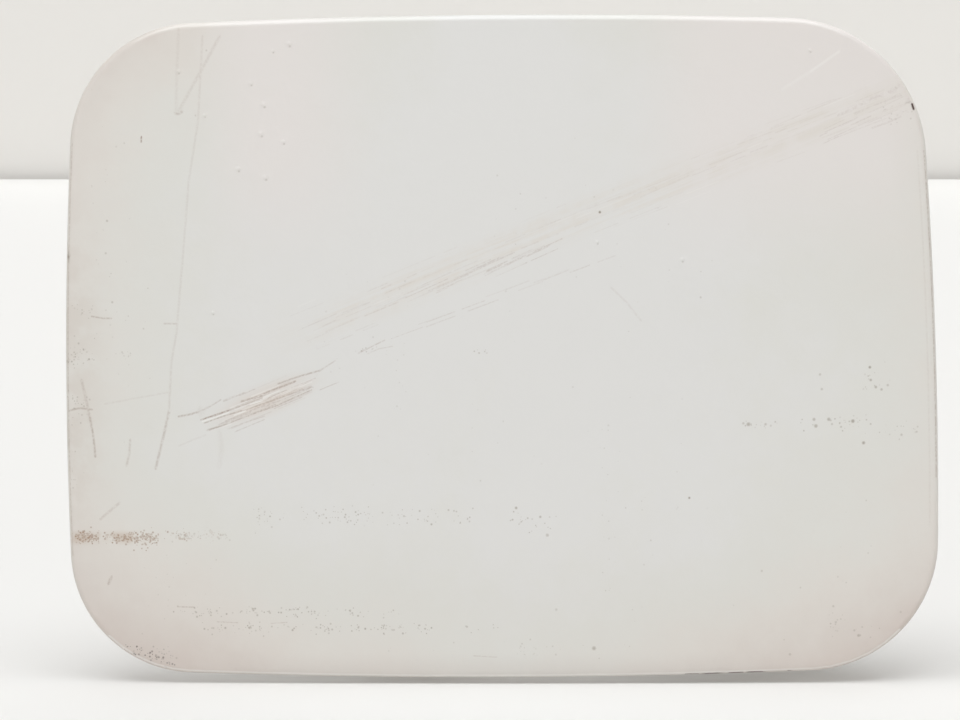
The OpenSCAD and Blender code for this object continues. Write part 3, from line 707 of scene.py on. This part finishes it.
def inner_panel():
    rim = make_rim(30, 22)
    back = flange_and_wall(rim, 0)
    front = flange_and_wall(rim, INNER)
    shell = Shell()
    shell.stack(back)
    shell.stack(front, True)
    shell.between(back[0], front[0], True)
    flat, tris = field_mesh(rim)
    height = rib_height(flat)
    shell.sheet(flat, tris, FIELD_Y + height)
    shell.sheet(flat, tris, FIELD_Y + height - INNER, True)
    for c in LIGHT_HOLES:
        hole_lip(shell, c)
    for c, r in SMALL_HOLES:
        ring = circle(c, r, 24)
        shell.between(lift(ring, FIELD_Y), lift(ring, FIELD_Y - INNER), True)
    return shell.build("inner_sheet", 40)


# Hem sealer: a brushed bead along the hem's free edge

BEAD_GAP = 0.02


def hem_sealer():
    rim = make_rim(90, 60)
    n = len(rim)
    rng = np.random.default_rng(7)

    def wave(scale, size):
        """A wavy value round the rim, with a new height every so many points."""
        k = max(3, int(n / scale))
        knots = rng.normal(0, size, k)
        return np.interp(np.arange(n) * k / n, np.arange(k + 1), np.append(knots, knots[0]))

    wide = 1.55 + wave(9, 0.13) + wave(30, 0.16)
    tall = 0.62 + wave(7, 0.04) + wave(25, 0.05)
    foot = SKIN + SHEET_GAP + INNER + BEAD_GAP
    rings = [ring_at(rim, HEM_W + BEAD_GAP + wide * t, foot + tall * (1 - t ** 2.2))
             for t in np.linspace(0, 1, 8)]
    under = [lift(r[:, [0, 2]], crown(r[:, [0, 2]]) + foot) for r in (rings[-2], rings[0])]
    rings[-1][:, 1] = crown(rings[-1][:, [0, 2]]) + foot
    loop = rings + under
    m = len(loop)
    faces = ring_faces(m, n)
    last = (m - 1) * n
    faces += [(last + j, last + (j + 1) % n, (j + 1) % n, j) for j in range(n)]
    return mesh_object("sealer_bead", np.concatenate(loop), faces, 60)


# Over-centre spring: one wire, hook to hook

# The two pegs lie on one circle about the pivot
PEG_REACH = 13
BASE_PEG = PIVOT + polar(PEG_REACH, 69.5)
ARM_PEG = PIVOT + polar(PEG_REACH, 202)
SPRING_Z = 33.15
WIRE = 0.8
COIL_R = 2.5 - WIRE / 2
HOOK_R = 1.6 + WIRE / 2
HOOK_LEN = 4.4
TURNS = 18
TURN_STEPS = 24
WIRE_SIDES = 12


def tube(name, path, r):
    """A round wire along a path, with slightly domed ends."""
    sides = WIRE_SIDES
    path = np.asarray(path, float)
    tangent = np.gradient(path, axis=0)
    tangent /= np.linalg.norm(tangent, axis=1)[:, None]
    up = np.array([0.0, 0, 1])
    if abs(tangent[0] @ up) > 0.9:
        up = np.array([1.0, 0, 0])
    u = np.cross(tangent[0], up)
    u /= np.linalg.norm(u)
    points = []
    for i, t in enumerate(tangent):
        u = u - t * (u @ t)
        u /= np.linalg.norm(u)
        v = np.cross(t, u)
        for k in range(sides):
            a = 2 * math.pi * k / sides
            points.append(path[i] + r * (u * math.cos(a) + v * math.sin(a)))
    n = len(path)
    faces = ring_faces(n, sides)
    points += [path[0] - tangent[0] * r * 0.4, path[-1] + tangent[-1] * r * 0.4]
    faces += fan(len(points) - 2, 0, sides) + fan(len(points) - 1, (n - 1) * sides, sides, True)
    return mesh_object(name, points, faces, 60)


def spring():
    run = ARM_PEG - BASE_PEG
    length = np.linalg.norm(run)
    e = run / length
    side = np.array([-e[1], e[0]])

    def hook():
        """From the hook's free end, round its peg and out to the coil's rim."""
        out = []
        for a in np.linspace(40, 345, 30):
            x, y = polar(HOOK_R, a)
            out.append((x, -y, 0))
        for t in np.linspace(0.15, 1, 9):
            k = t * t * (3 - 2 * t)
            out.append((HOOK_R + (HOOK_LEN - HOOK_R) * t, 0.55 * (1 - t), COIL_R * k))
        return out

    start = hook()
    coil = []
    for i in range(TURNS * TURN_STEPS + 1):
        a = 2 * math.pi * i / TURN_STEPS
        x = HOOK_LEN + (length - 2 * HOOK_LEN) * i / (TURNS * TURN_STEPS)
        coil.append((x, COIL_R * math.sin(a), COIL_R * math.cos(a)))
    end = [(length - x, -y, z) for x, y, z in start][::-1]
    local = start + coil[1:-1] + end
    path = [(*(BASE_PEG + e * x + side * y), SPRING_Z + z) for x, y, z in local]
    return tube("spring_coil", path, WIRE / 2 - 0.01)


# Small steel and plastic pieces: the CAD solids with their edges broken

def dress(node, name, width):
    """A copy of a node's mesh, cleaned and bevelled, that stands for the node."""
    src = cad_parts[node]
    bm = bmesh.new()
    bm.from_mesh(src.data)
    bmesh.ops.remove_doubles(bm, verts=bm.verts, dist=2e-6)
    bmesh.ops.dissolve_limit(bm, angle_limit=math.radians(0.5), verts=bm.verts, edges=bm.edges)
    bmesh.ops.recalc_face_normals(bm, faces=bm.faces)
    me = bpy.data.meshes.new(name)
    bm.to_mesh(me)
    bm.free()
    o = bpy.data.objects.new(name, me)
    bpy.context.scene.collection.objects.link(o)
    mod = o.modifiers.new("edges", "BEVEL")
    mod.width = width / 1000
    mod.segments = 2
    mod.limit_method = "ANGLE"
    mod.angle_limit = math.radians(32)
    graph = bpy.context.evaluated_depsgraph_get()
    done = bpy.data.meshes.new_from_object(o.evaluated_get(graph))
    o.modifiers.clear()
    o.data = done
    done.name = name
    done.materials.clear()
    done.shade_smooth()
    done.set_sharp_from_angle(angle=math.radians(35))
    return o


# Materials

# Half the leaf's width and height, for tones that follow its size
HALF_WIDE = 92
HALF_HIGH = 70
# The scuff's lean in degrees and its distance from the middle, and the height of the brown streak
SCUFF_LEAN = 22.0
SCUFF_OFF = 19.3
STREAK_Z = -40.1
# Tones of the painted skin
PLAIN = (0.722, 0.716, 0.704)
# The next four tones are painted shade and warm painted reflection across the face
GREENISH = (0.704, 0.697, 0.664)
WARM = (0.706, 0.672, 0.632)
CORNER_SHADE_TONE = (0.600, 0.528, 0.488)
ROSY = (0.752, 0.712, 0.695)
HANDLED = (0.60, 0.55, 0.50)
# Painted shade low down on the face
LOW_SHADE_TONE = (0.55, 0.505, 0.475)
CREAM = (0.690, 0.650, 0.600)
RAKED_TONE = (0.66, 0.575, 0.51)
TAN = (0.46, 0.34, 0.25)
# Also the colour of the painted shade lines at the hem's ends
SCRATCH_AND_HEM_SHADE_TONE = (0.36, 0.275, 0.235)
# Also the colour of the painted highlight along the bottom edge
PALE_LINE_AND_HIGHLIGHT = (0.86, 0.85, 0.83)
# Also the colour of the painted shade dots by the nibs
GRIT_AND_NIB_SHADE_TONE = (0.30, 0.26, 0.215)
RUST_TONE = (0.29, 0.165, 0.09)
CORNER_CHIP_TONE = (0.11, 0.085, 0.075)
EDGE_CHIP_TONE = (0.05, 0.018, 0.012)


class Tree:
    """A node tree, and short calls that add to it."""

    def __init__(self, tree):
        self.tree = tree

    def new(self, kind):
        return self.tree.nodes.new("ShaderNode" + kind)

    def plug(self, socket, value):
        """Links another socket to this one, or gives it a value of its own."""
        if isinstance(value, bpy.types.NodeSocket):
            self.tree.links.new(value, socket)
        elif isinstance(value, tuple) and len(value) == 3 and socket.type == "RGBA":
            socket.default_value = (*value, 1)
        else:
            socket.default_value = value

    def math(self, op, *args):
        node = self.new("Math")
        node.operation = op
        for socket, value in zip(node.inputs, args):
            self.plug(socket, value)
        return node.outputs[0]


class Nodes(Tree):
    """A material, and short calls for the nodes that these materials use."""

    SOCKETS = {"base": "Base Color", "rough": "Roughness", "metal": "Metallic", "normal": "Normal",
               "coat": "Coat Weight", "coat_rough": "Coat Roughness", "spec": "Specular IOR Level"}

    def __init__(self, name):
        self.mat = bpy.data.materials.new(name)
        self.mat.use_nodes = True
        super().__init__(self.mat.node_tree)
        self.tree.nodes.clear()
        out = self.new("OutputMaterial")
        self.bsdf = self.new("BsdfPrincipled")
        self.plug(out.inputs[0], self.bsdf.outputs[0])
        coord = self.new("TexCoord").outputs["Object"]
        self.p = self.vec("MULTIPLY_ADD", coord, (1000, 1000, 1000), tuple(-SHIFT))
        split = self.new("SeparateXYZ")
        self.plug(split.inputs[0], self.p)
        self.x, self.y, self.z = split.outputs

    def times(self, first, *others):
        for other in others:
            first = self.math("MULTIPLY", first, other)
        return first

    def most(self, first, *others):
        for other in others:
            first = self.math("MAXIMUM", first, other)
        return first

    def away(self, value, place):
        """How far the value is from a place, either way."""
        return self.math("ABSOLUTE", self.math("SUBTRACT", value, place))

    def vec(self, op, *args):
        node = self.new("VectorMath")
        node.operation = op
        for socket, value in zip(node.inputs, args):
            self.plug(socket, value)
        return node.outputs["Value" if op in ("DOT_PRODUCT", "DISTANCE") else "Vector"]

    def span(self, value, lo, hi, a=0.0, b=1.0):
        """value from lo to hi as a smooth step from a to b."""
        node = self.new("MapRange")
        node.interpolation_type = "SMOOTHSTEP"
        for key, v in (("Value", value), ("From Min", lo), ("From Max", hi), ("To Min", a), ("To Max", b)):
            self.plug(node.inputs[key], v)
        return node.outputs["Result"]

    def noise(self, place, scale, detail, rough):
        node = self.new("TexNoise")
        for key, v in (("Vector", place), ("Scale", scale), ("Detail", detail), ("Roughness", rough)):
            self.plug(node.inputs[key], v)
        return node.outputs["Fac"]

    def stretched(self, along, across, deg):
        """The place turned by deg in the x-z plane, then scaled along and across."""
        c, s = polar(1, deg)
        node = self.new("CombineXYZ")
        self.plug(node.inputs[0], self.vec("DOT_PRODUCT", self.p, (c * along, 0, s * along)))
        self.plug(node.inputs[2], self.vec("DOT_PRODUCT", self.p, (-s * across, 0, c * across)))
        return node.outputs[0]

    def mix(self, fac, a, b):
        node = self.new("Mix")
        node.data_type = "RGBA"
        self.plug(node.inputs["Factor"], fac)
        self.plug(node.inputs[6], a)
        self.plug(node.inputs[7], b)
        return node.outputs[2]

    def bump(self, height, strength, distance):
        node = self.new("Bump")
        for key, v in (("Height", height), ("Strength", strength), ("Distance", distance)):
            self.plug(node.inputs[key], v)
        return node.outputs[0]

    def attribute(self, name):
        node = self.new("Attribute")
        node.attribute_name = name
        return node.outputs["Fac"]

    def set(self, **values):
        for key, value in values.items():
            self.plug(self.bsdf.inputs[self.SOCKETS[key]], value)
        return self.mat


def tinted(s, across, broad, mid):
    """The paint's tone, varying at random, with painted shade and warm painted reflection: neutral in the
    middle, then greenish, then warm and darker towards the corners.
    """
    height = s.math("POWER", s.math("ABSOLUTE", s.times(s.z, 1 / HALF_HIGH)), 3.0)
    tint = s.math("MULTIPLY_ADD", s.math("POWER", across, 3.0), 0.6, s.times(height, across))
    tint = s.math("MULTIPLY_ADD", s.times(height, s.span(s.z, 0, -30)), 0.40, tint)
    tint = s.math("MULTIPLY_ADD", s.math("SUBTRACT", broad, 0.5), 0.5, tint)
    tint = s.math("MULTIPLY_ADD", s.math("SUBTRACT", mid, 0.5), 0.3, tint)
    paint = s.mix(s.span(tint, 0.02, 0.38), PLAIN, GREENISH)
    paint = s.mix(s.span(tint, 0.3, 0.8), paint, WARM)
    paint = s.mix(s.span(tint, 0.6, 1.5), paint, CORNER_SHADE_TONE)
    # The upper part is a little rosier away from the middle, a warm painted reflection
    sides = s.times(s.span(across, 0.25, 0.5), s.span(s.x, -68, -50), s.span(s.x, 92, 78))
    return s.mix(s.times(sides, s.span(s.z, 12, 45), 0.8), paint, ROSY)


def soiled_and_shaded(s, paint, across, mid):
    """Finger wear at the latch edge, and painted shade low down, mostly in the last few millimetres."""
    handled = s.times(s.span(s.x, -80, -92), s.span(s.away(s.z, -6), 44, 14))
    handled = s.times(handled, s.span(mid, 0.36, 0.62, 0.25, 1), 0.5)
    paint = s.mix(handled, paint, HANDLED)
    darkening = s.math("ADD", s.span(s.z, -30, -62, 0, 0.08), s.span(s.z, -64, -69.5, 0, 0.36))
    return s.mix(s.times(darkening, s.span(across, 0.85, 0.45)), paint, LOW_SHADE_TONE)


def scuff_haze(s, paint, mid):
    """The scuff's cream haze, streaked along it, and the tanner haze where it starts."""
    streak = s.noise(s.stretched(0.02, 0.9, SCUFF_LEAN), 1.0, 3, 0.65)
    lean_x, lean_z = polar(1, SCUFF_LEAN)
    along = s.vec("DOT_PRODUCT", s.p, (lean_x, 0, lean_z))
    off = s.away(s.vec("DOT_PRODUCT", s.p, (-lean_z, 0, lean_x)), SCUFF_OFF)
    band = s.times(s.span(off, 5.4, 0.8), s.span(along, -52, -16), s.span(along, 108, 94))
    cream = s.times(band, s.span(streak, 0.36, 0.62, 0.1, 0.55), s.span(mid, 0.36, 0.58, 0.5, 1.2))
    paint = s.mix(cream, paint, CREAM)
    start = s.vec("DISTANCE", s.stretched(1, 3.4, SCUFF_LEAN), (-50.3, 0, 29.5))
    raked = s.times(s.span(start, 15, 3), s.span(streak, 0.3, 0.7, 0.35, 0.8), 0.9)
    return s.mix(raked, paint, RAKED_TONE), cream


def streak_film(s, paint, mid):
    """The tan film that the brown streak's grains lie in."""
    darkening = s.times(s.span(s.away(s.z, STREAK_Z), 1.9, 0.3), s.span(s.x, -71, -77), s.span(mid, 0.4, 0.6))
    return s.mix(s.times(darkening, 0.42), paint, TAN)


def marked(s, paint, wear, darkened):
    """Scratches, pale lines, grit and rust, with the painted shade and highlight marks among them, as
    strong as the mesh says.
    """
    paint = s.mix(s.times(darkened, 0.9), paint, SCRATCH_AND_HEM_SHADE_TONE)
    paint = s.mix(wear["light"], paint, PALE_LINE_AND_HIGHLIGHT)
    paint = s.mix(wear["grit_and_nib_shade"], paint, GRIT_AND_NIB_SHADE_TONE)
    brown = s.mix(s.span(s.away(s.z, STREAK_Z), 8, 14), RUST_TONE, CORNER_CHIP_TONE)
    brown = s.mix(s.span(s.x, 20, 30), brown, EDGE_CHIP_TONE)
    return s.mix(wear["rust"], paint, brown)


def body_paint(name):
    s = Nodes(name)
    # The attributes hold the wear, with the painted shade and highlight marks among them
    wear = {kind: s.attribute(kind) for kind in WEAR_AND_PAINTED_LIGHT}
    broad = s.noise(s.p, 0.03, 2, 0.5)
    mid = s.noise(s.p, 0.16, 3, 0.6)
    fine = s.noise(s.p, 2.2, 3, 0.7)
    across = s.math("ABSOLUTE", s.times(s.x, 1 / HALF_WIDE))
    # The dark scratches, with the painted shade lines at the hem's ends
    darkened = s.times(wear["scratch_and_hem_shade"], s.span(fine, 0.38, 0.58, 0.3, 1.1))
    paint = soiled_and_shaded(s, tinted(s, across, broad, mid), across, mid)
    paint, cream = scuff_haze(s, paint, mid)
    paint = marked(s, streak_film(s, paint, mid), wear, darkened)
    # The hem's back is the same paint with a film of dust, and no marks
    clean = s.mix(s.span(mid, 0.4, 0.7, 0, 0.4), (0.67, 0.66, 0.65), (0.56, 0.53, 0.485))
    dull = s.most(darkened, wear["grit_and_nib_shade"], wear["rust"], s.times(cream, 0.5))
    marks = s.math("ADD", wear["scratch_and_hem_shade"], wear["grit_and_nib_shade"])
    relief = s.math("MULTIPLY_ADD", marks, -0.5, s.noise(s.p, 0.5, 1, 0.5))
    return s.set(
        base=s.mix(s.attribute("face"), clean, paint),
        rough=s.math("MULTIPLY_ADD", dull, 0.3, s.span(mid, 0.3, 0.7, 0.28, 0.36)),
        normal=s.bump(relief, 0.12, 0.0003),
        coat=0.35,
        coat_rough=0.12,
    )


def inner_paint(name):
    s = Nodes(name)
    broad = s.noise(s.p, 0.045, 3, 0.6)
    mid = s.noise(s.p, 0.22, 4, 0.65)
    fine = s.noise(s.p, 1.6, 3, 0.6)
    base = s.mix(s.span(broad, 0.35, 0.65), (0.60, 0.60, 0.585), (0.66, 0.66, 0.65))
    # Dust and road film gather low down and round the foot of the wall
    low = s.math("ADD", s.span(s.z, 10, -60, 0, 0.35), s.times(s.span(s.y, 5.9, 3.2), 0.35))
    darkening = s.times(low, s.span(mid, 0.3, 0.68))
    base = s.mix(darkening, base, (0.33, 0.28, 0.225))
    spots = s.span(s.noise(s.p, 0.8, 3, 0.7), 0.66, 0.72)
    base = s.mix(s.times(spots, 0.5), base, (0.28, 0.22, 0.17))
    rough = s.math("MULTIPLY_ADD", darkening, 0.35, s.span(fine, 0.3, 0.7, 0.36, 0.46))
    normal = s.bump(s.noise(s.p, 0.9, 3, 0.55), 0.07, 0.0004)
    return s.set(base=base, rough=rough, normal=normal, coat=0.15, coat_rough=0.2)


def plated(name, light, dark, grain_deg):
    """Zinc plate: spangled tone, rolling lines, dull white bloom and a few stains."""
    s = Nodes(name)
    broad = s.noise(s.p, 0.09, 3, 0.6)
    spangle = s.new("TexVoronoi")
    s.plug(spangle.inputs["Vector"], s.p)
    s.plug(spangle.inputs["Scale"], 0.42)
    cell = s.vec("DOT_PRODUCT", spangle.outputs["Color"], (0.4, 0.3, 0.3))
    lines = s.noise(s.stretched(0.05, 2.2, grain_deg), 1.0, 3, 0.6)
    tone = s.math("MULTIPLY_ADD", cell, 0.35, s.times(lines, 0.5))
    base = s.mix(s.span(tone, 0.2, 0.62), dark, light)
    bloom = s.times(s.span(broad, 0.52, 0.68), s.span(s.noise(s.p, 0.7, 4, 0.7), 0.4, 0.62))
    base = s.mix(s.times(bloom, 0.5), base, (0.60, 0.59, 0.56))
    stain = s.times(s.span(s.noise(s.p, 0.3, 4, 0.7), 0.62, 0.72), 0.45)
    base = s.mix(stain, base, (0.24, 0.17, 0.11))
    rough = s.math("MULTIPLY_ADD", bloom, 0.3, s.span(tone, 0.2, 0.62, 0.44, 0.30))
    metal = s.math("SUBTRACT", 1.0, s.times(s.most(bloom, stain), 0.7))
    return s.set(base=base, rough=rough, metal=metal, normal=s.bump(lines, 0.10, 0.0002))


def turned(name, colour, darkened, rough_lo, rough_hi):
    """Turned or drawn steel: fine rings and a few dark spots."""
    s = Nodes(name)
    rings = s.noise(s.vec("MULTIPLY", s.p, (0.3, 0.3, 3.0)), 1.0, 3, 0.6)
    spots = s.span(s.noise(s.p, 0.9, 4, 0.7), 0.56, 0.68)
    base = s.mix(s.span(rings, 0.3, 0.7), colour, tuple(c * 0.86 for c in colour))
    base = s.mix(s.times(spots, 0.6), base, darkened)
    rough = s.math("MULTIPLY_ADD", spots, 0.25, s.span(rings, 0.3, 0.7, rough_lo, rough_hi))
    return s.set(base=base, rough=rough, metal=0.95, normal=s.bump(rings, 0.12, 0.00015))


def moulded(name, colour, dusty, rough, grain, bump):
    """Moulded plastic or rubber: fine grain, with dust on it."""
    s = Nodes(name)
    fine = s.noise(s.p, grain, 4, 0.6)
    broad = s.noise(s.p, 0.12, 3, 0.6)
    dust = s.times(s.span(broad, 0.45, 0.7), s.span(fine, 0.35, 0.65, 0.3, 1))
    base = s.mix(s.times(dust, 0.4), colour, dusty)
    r = s.span(fine, 0.3, 0.7, rough - 0.06, rough + 0.08)
    return s.set(base=base, rough=r, normal=s.bump(fine, bump, 0.0003))


# The record's slots, with the function that makes each one's material and what it takes
MATERIALS = {slot: make(slot, *values) for slot, make, *values in [
    ("body_paint", body_paint),
    ("inner_paint", inner_paint),
    ("plated_steel", plated, (0.60, 0.59, 0.55), (0.38, 0.375, 0.355), 90),
    ("pin_steel", turned, (0.62, 0.61, 0.59), (0.22, 0.17, 0.13), 0.26, 0.40),
    ("screw_steel", turned, (0.16, 0.155, 0.15), (0.30, 0.20, 0.12), 0.36, 0.5),
    ("spring_steel", turned, (0.36, 0.35, 0.34), (0.20, 0.13, 0.08), 0.28, 0.42),
    ("bush_plastic", moulded, (0.70, 0.67, 0.58), (0.45, 0.40, 0.32), 0.45, 1.6, 0.05),
    ("black_plastic", moulded, (0.022, 0.022, 0.023), (0.13, 0.12, 0.105), 0.5, 2.4, 0.12),
    ("buffer_rubber", moulded, (0.018,) * 3, (0.15, 0.135, 0.115), 0.75, 2.0, 0.15),
    ("sealer", moulded, (0.50, 0.49, 0.45), (0.30, 0.26, 0.21), 0.6, 0.8, 0.2),
    ("mastic", moulded, (0.06, 0.06, 0.06), (0.12, 0.11, 0.10), 0.7, 0.8, 0.3),
]}


def place(piece, node, body, slot):
    """Gives a piece its material, hides the node it stands for, and attaches it to the body it moves with.
    """
    piece.data.materials.clear()
    piece.data.materials.append(MATERIALS[slot])
    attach(piece, body)
    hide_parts(node)


place(outer_panel(), "outer_panel", "door", "body_paint")
place(inner_panel(), "inner_panel", "door", "inner_paint")
place(hem_sealer(), "hem_sealer", "door", "sealer")
place(spring(), "over_centre_spring", "spring", "spring_steel")

# Body, slot, how wide the broken edges are, and the nodes that these hold for
for body, slot, width, nodes in [
    ("door", "plated_steel", 0.25, ["hinge_arm"]),
    ("door", "plated_steel", 0.22, ["latch_striker"]),
    ("base", "plated_steel", 0.3, ["hinge_base"]),
    ("base", "pin_steel", 0.3, ["hinge_pin"]),
    ("base", "pin_steel", 0.25, ["stop_spacer"]),
    ("base", "pin_steel", 0.12, ["base_spring_peg"]),
    ("door", "pin_steel", 0.12, ["arm_spring_peg"]),
    ("door", "pin_steel", 0.2, ["striker_rivet_upper", "striker_rivet_lower"]),
    ("door", "screw_steel", 0.2, ["arm_screw_upper", "arm_screw_lower"]),
    ("door", "screw_steel", 0.2, ["weld_nut_upper", "weld_nut_lower"]),
    ("base", "screw_steel", 0.1, ["pin_clip"]),
    ("door", "bush_plastic", 0.15, ["pivot_bush_upper", "pivot_bush_lower"]),
    ("door", "black_plastic", 0.4, ["cap_holder"]),
    ("door", "buffer_rubber", 0.4, ["buffer_upper_left", "buffer_lower_left"]),
    ("door", "buffer_rubber", 0.4, ["buffer_upper_right", "buffer_lower_right"]),
    ("door", "mastic", 0.8, ["mastic_left", "mastic_middle", "mastic_right"]),
]:
    for node in nodes:
        place(dress(node, node + "_dressed", width), node, body, slot)


# Stage, lights and camera

FLOOR_Z = -71.3
BIG = 6000
WALL_TOP = 600
# The camera's pitch in radians and its distance
TILT = math.radians(5)
DISTANCE = 1000.0
# The picture's size in pixels, its scale at the leaf, and where the leaf's middle and the seam
# between floor and backdrop lie in it
PICTURE_PX = (960, 720)
PX_PER_MM = 4.76
MIDDLE_PX = (502.9, 349.2)
SEAM_PX = 172.0
SENSOR = 36
FAR_CLIP = 50
# What the world gains near the horizon, its brightness straight up and down, and where it is seen
HORIZON = 0.90
ZENITH = 0.08
ROOM = 0.8
WORLD_COLOUR = (1.0, 0.955, 0.90)


def stage_plane(name, near_edge, far_edge, material_name, colour, rough):
    """A plane between two edges, each given as (y, z)."""
    corners = [(-BIG, *near_edge), (BIG, *near_edge), (BIG, *far_edge), (-BIG, *far_edge)]
    me = bpy.data.meshes.new(name)
    me.from_pydata([tuple(p) for p in row(corners)], [], [(0, 1, 2, 3)])
    me.materials.append(Nodes(material_name).set(base=colour, rough=rough, spec=0.2))
    o = bpy.data.objects.new(name, me)
    bpy.context.scene.collection.objects.link(o)


def seam_behind():
    """How far behind the leaf the floor ends, for its edge to lie on the picture's seam."""
    up = (MIDDLE_PX[1] - SEAM_PX) / PX_PER_MM
    over = up * (DISTANCE - FLOOR_Z * math.sin(TILT)) - FLOOR_Z * math.cos(TILT) * DISTANCE
    return over / (math.sin(TILT) * DISTANCE - up * math.cos(TILT))


def studio_world():
    """Soft light all round, strongest near the horizon and weaker from the two sides."""
    world = bpy.data.worlds.new("studio")
    world.use_nodes = True
    t = Tree(world.node_tree)
    glow = t.tree.nodes["Background"]
    t.plug(glow.inputs[0], WORLD_COLOUR)
    split = t.new("SeparateXYZ")
    t.plug(split.inputs[0], t.new("TexCoord").outputs["Generated"])
    sideways = t.math("MULTIPLY", split.outputs[0], split.outputs[0])
    ends = t.math("MULTIPLY_ADD", sideways, -0.55, 1.0)
    low = t.math("SUBTRACT", 1.0, t.math("ABSOLUTE", split.outputs[2]))
    rise = t.math("MULTIPLY_ADD", t.math("MULTIPLY", low, low), HORIZON, ZENITH)
    level = t.math("MULTIPLY", ends, rise)
    # Seen directly, reflected or through something clear, it is a pale room
    seen = t.new("LightPath").outputs
    pale = t.math("MAXIMUM", seen["Is Camera Ray"], seen["Is Glossy Ray"])
    pale = t.math("MAXIMUM", pale, seen["Is Transmission Ray"])
    shown = t.math("MULTIPLY", pale, t.math("SUBTRACT", ROOM, level))
    t.plug(glow.inputs[1], t.math("ADD", level, shown))
    bpy.context.scene.world = world


def sun(name, towards, strength, colour):
    """A broad, soft lamp that shines that way."""
    data = bpy.data.lights.new(name, "SUN")
    data.energy = strength
    data.angle = math.radians(60)
    data.color = colour
    o = bpy.data.objects.new(name, data)
    o.rotation_euler = Vector(towards).to_track_quat("-Z", "Y").to_euler()
    bpy.context.scene.collection.objects.link(o)


def photo_camera():
    data = bpy.data.cameras.new("camera")
    data.sensor_width = SENSOR
    data.lens = PX_PER_MM * DISTANCE / PICTURE_PX[0] * SENSOR
    data.clip_end = FAR_CLIP
    camera = bpy.data.objects.new("camera", data)
    aim_x = (PICTURE_PX[0] / 2 - MIDDLE_PX[0]) / PX_PER_MM
    aim_z = (MIDDLE_PX[1] - PICTURE_PX[1] / 2) / PX_PER_MM
    eye = (aim_x, -DISTANCE * math.cos(TILT), aim_z + DISTANCE * math.sin(TILT))
    camera.location = Vector(row(eye))
    camera.rotation_euler = (math.radians(90) - TILT, 0, 0)
    bpy.context.scene.collection.objects.link(camera)
    bpy.context.scene.camera = camera


seam_y = seam_behind()
wall_y = seam_y + 6
floor_tone = (0.835, 0.824, 0.808)
wall_tone = (0.805, 0.788, 0.762)
stage_plane("floor", (-3 * BIG, FLOOR_Z), (seam_y, FLOOR_Z), "floor_white", floor_tone, 0.7)
stage_plane("backdrop", (wall_y, FLOOR_Z - 30), (wall_y, WALL_TOP), "backdrop_white", wall_tone, 0.8)
studio_world()
sun("overhead", (0.03, 0.33, -1), 2.48, (0.96, 0.985, 1.0))
sun("front_left", (0.3, 1, -0.3), 0.35, (0.96, 0.985, 1.0))
sun("back", (-0.2, -0.8, -1), 0.5, (1.0, 0.985, 0.96))
photo_camera()
bpy.context.scene.view_settings.view_transform = "Standard"
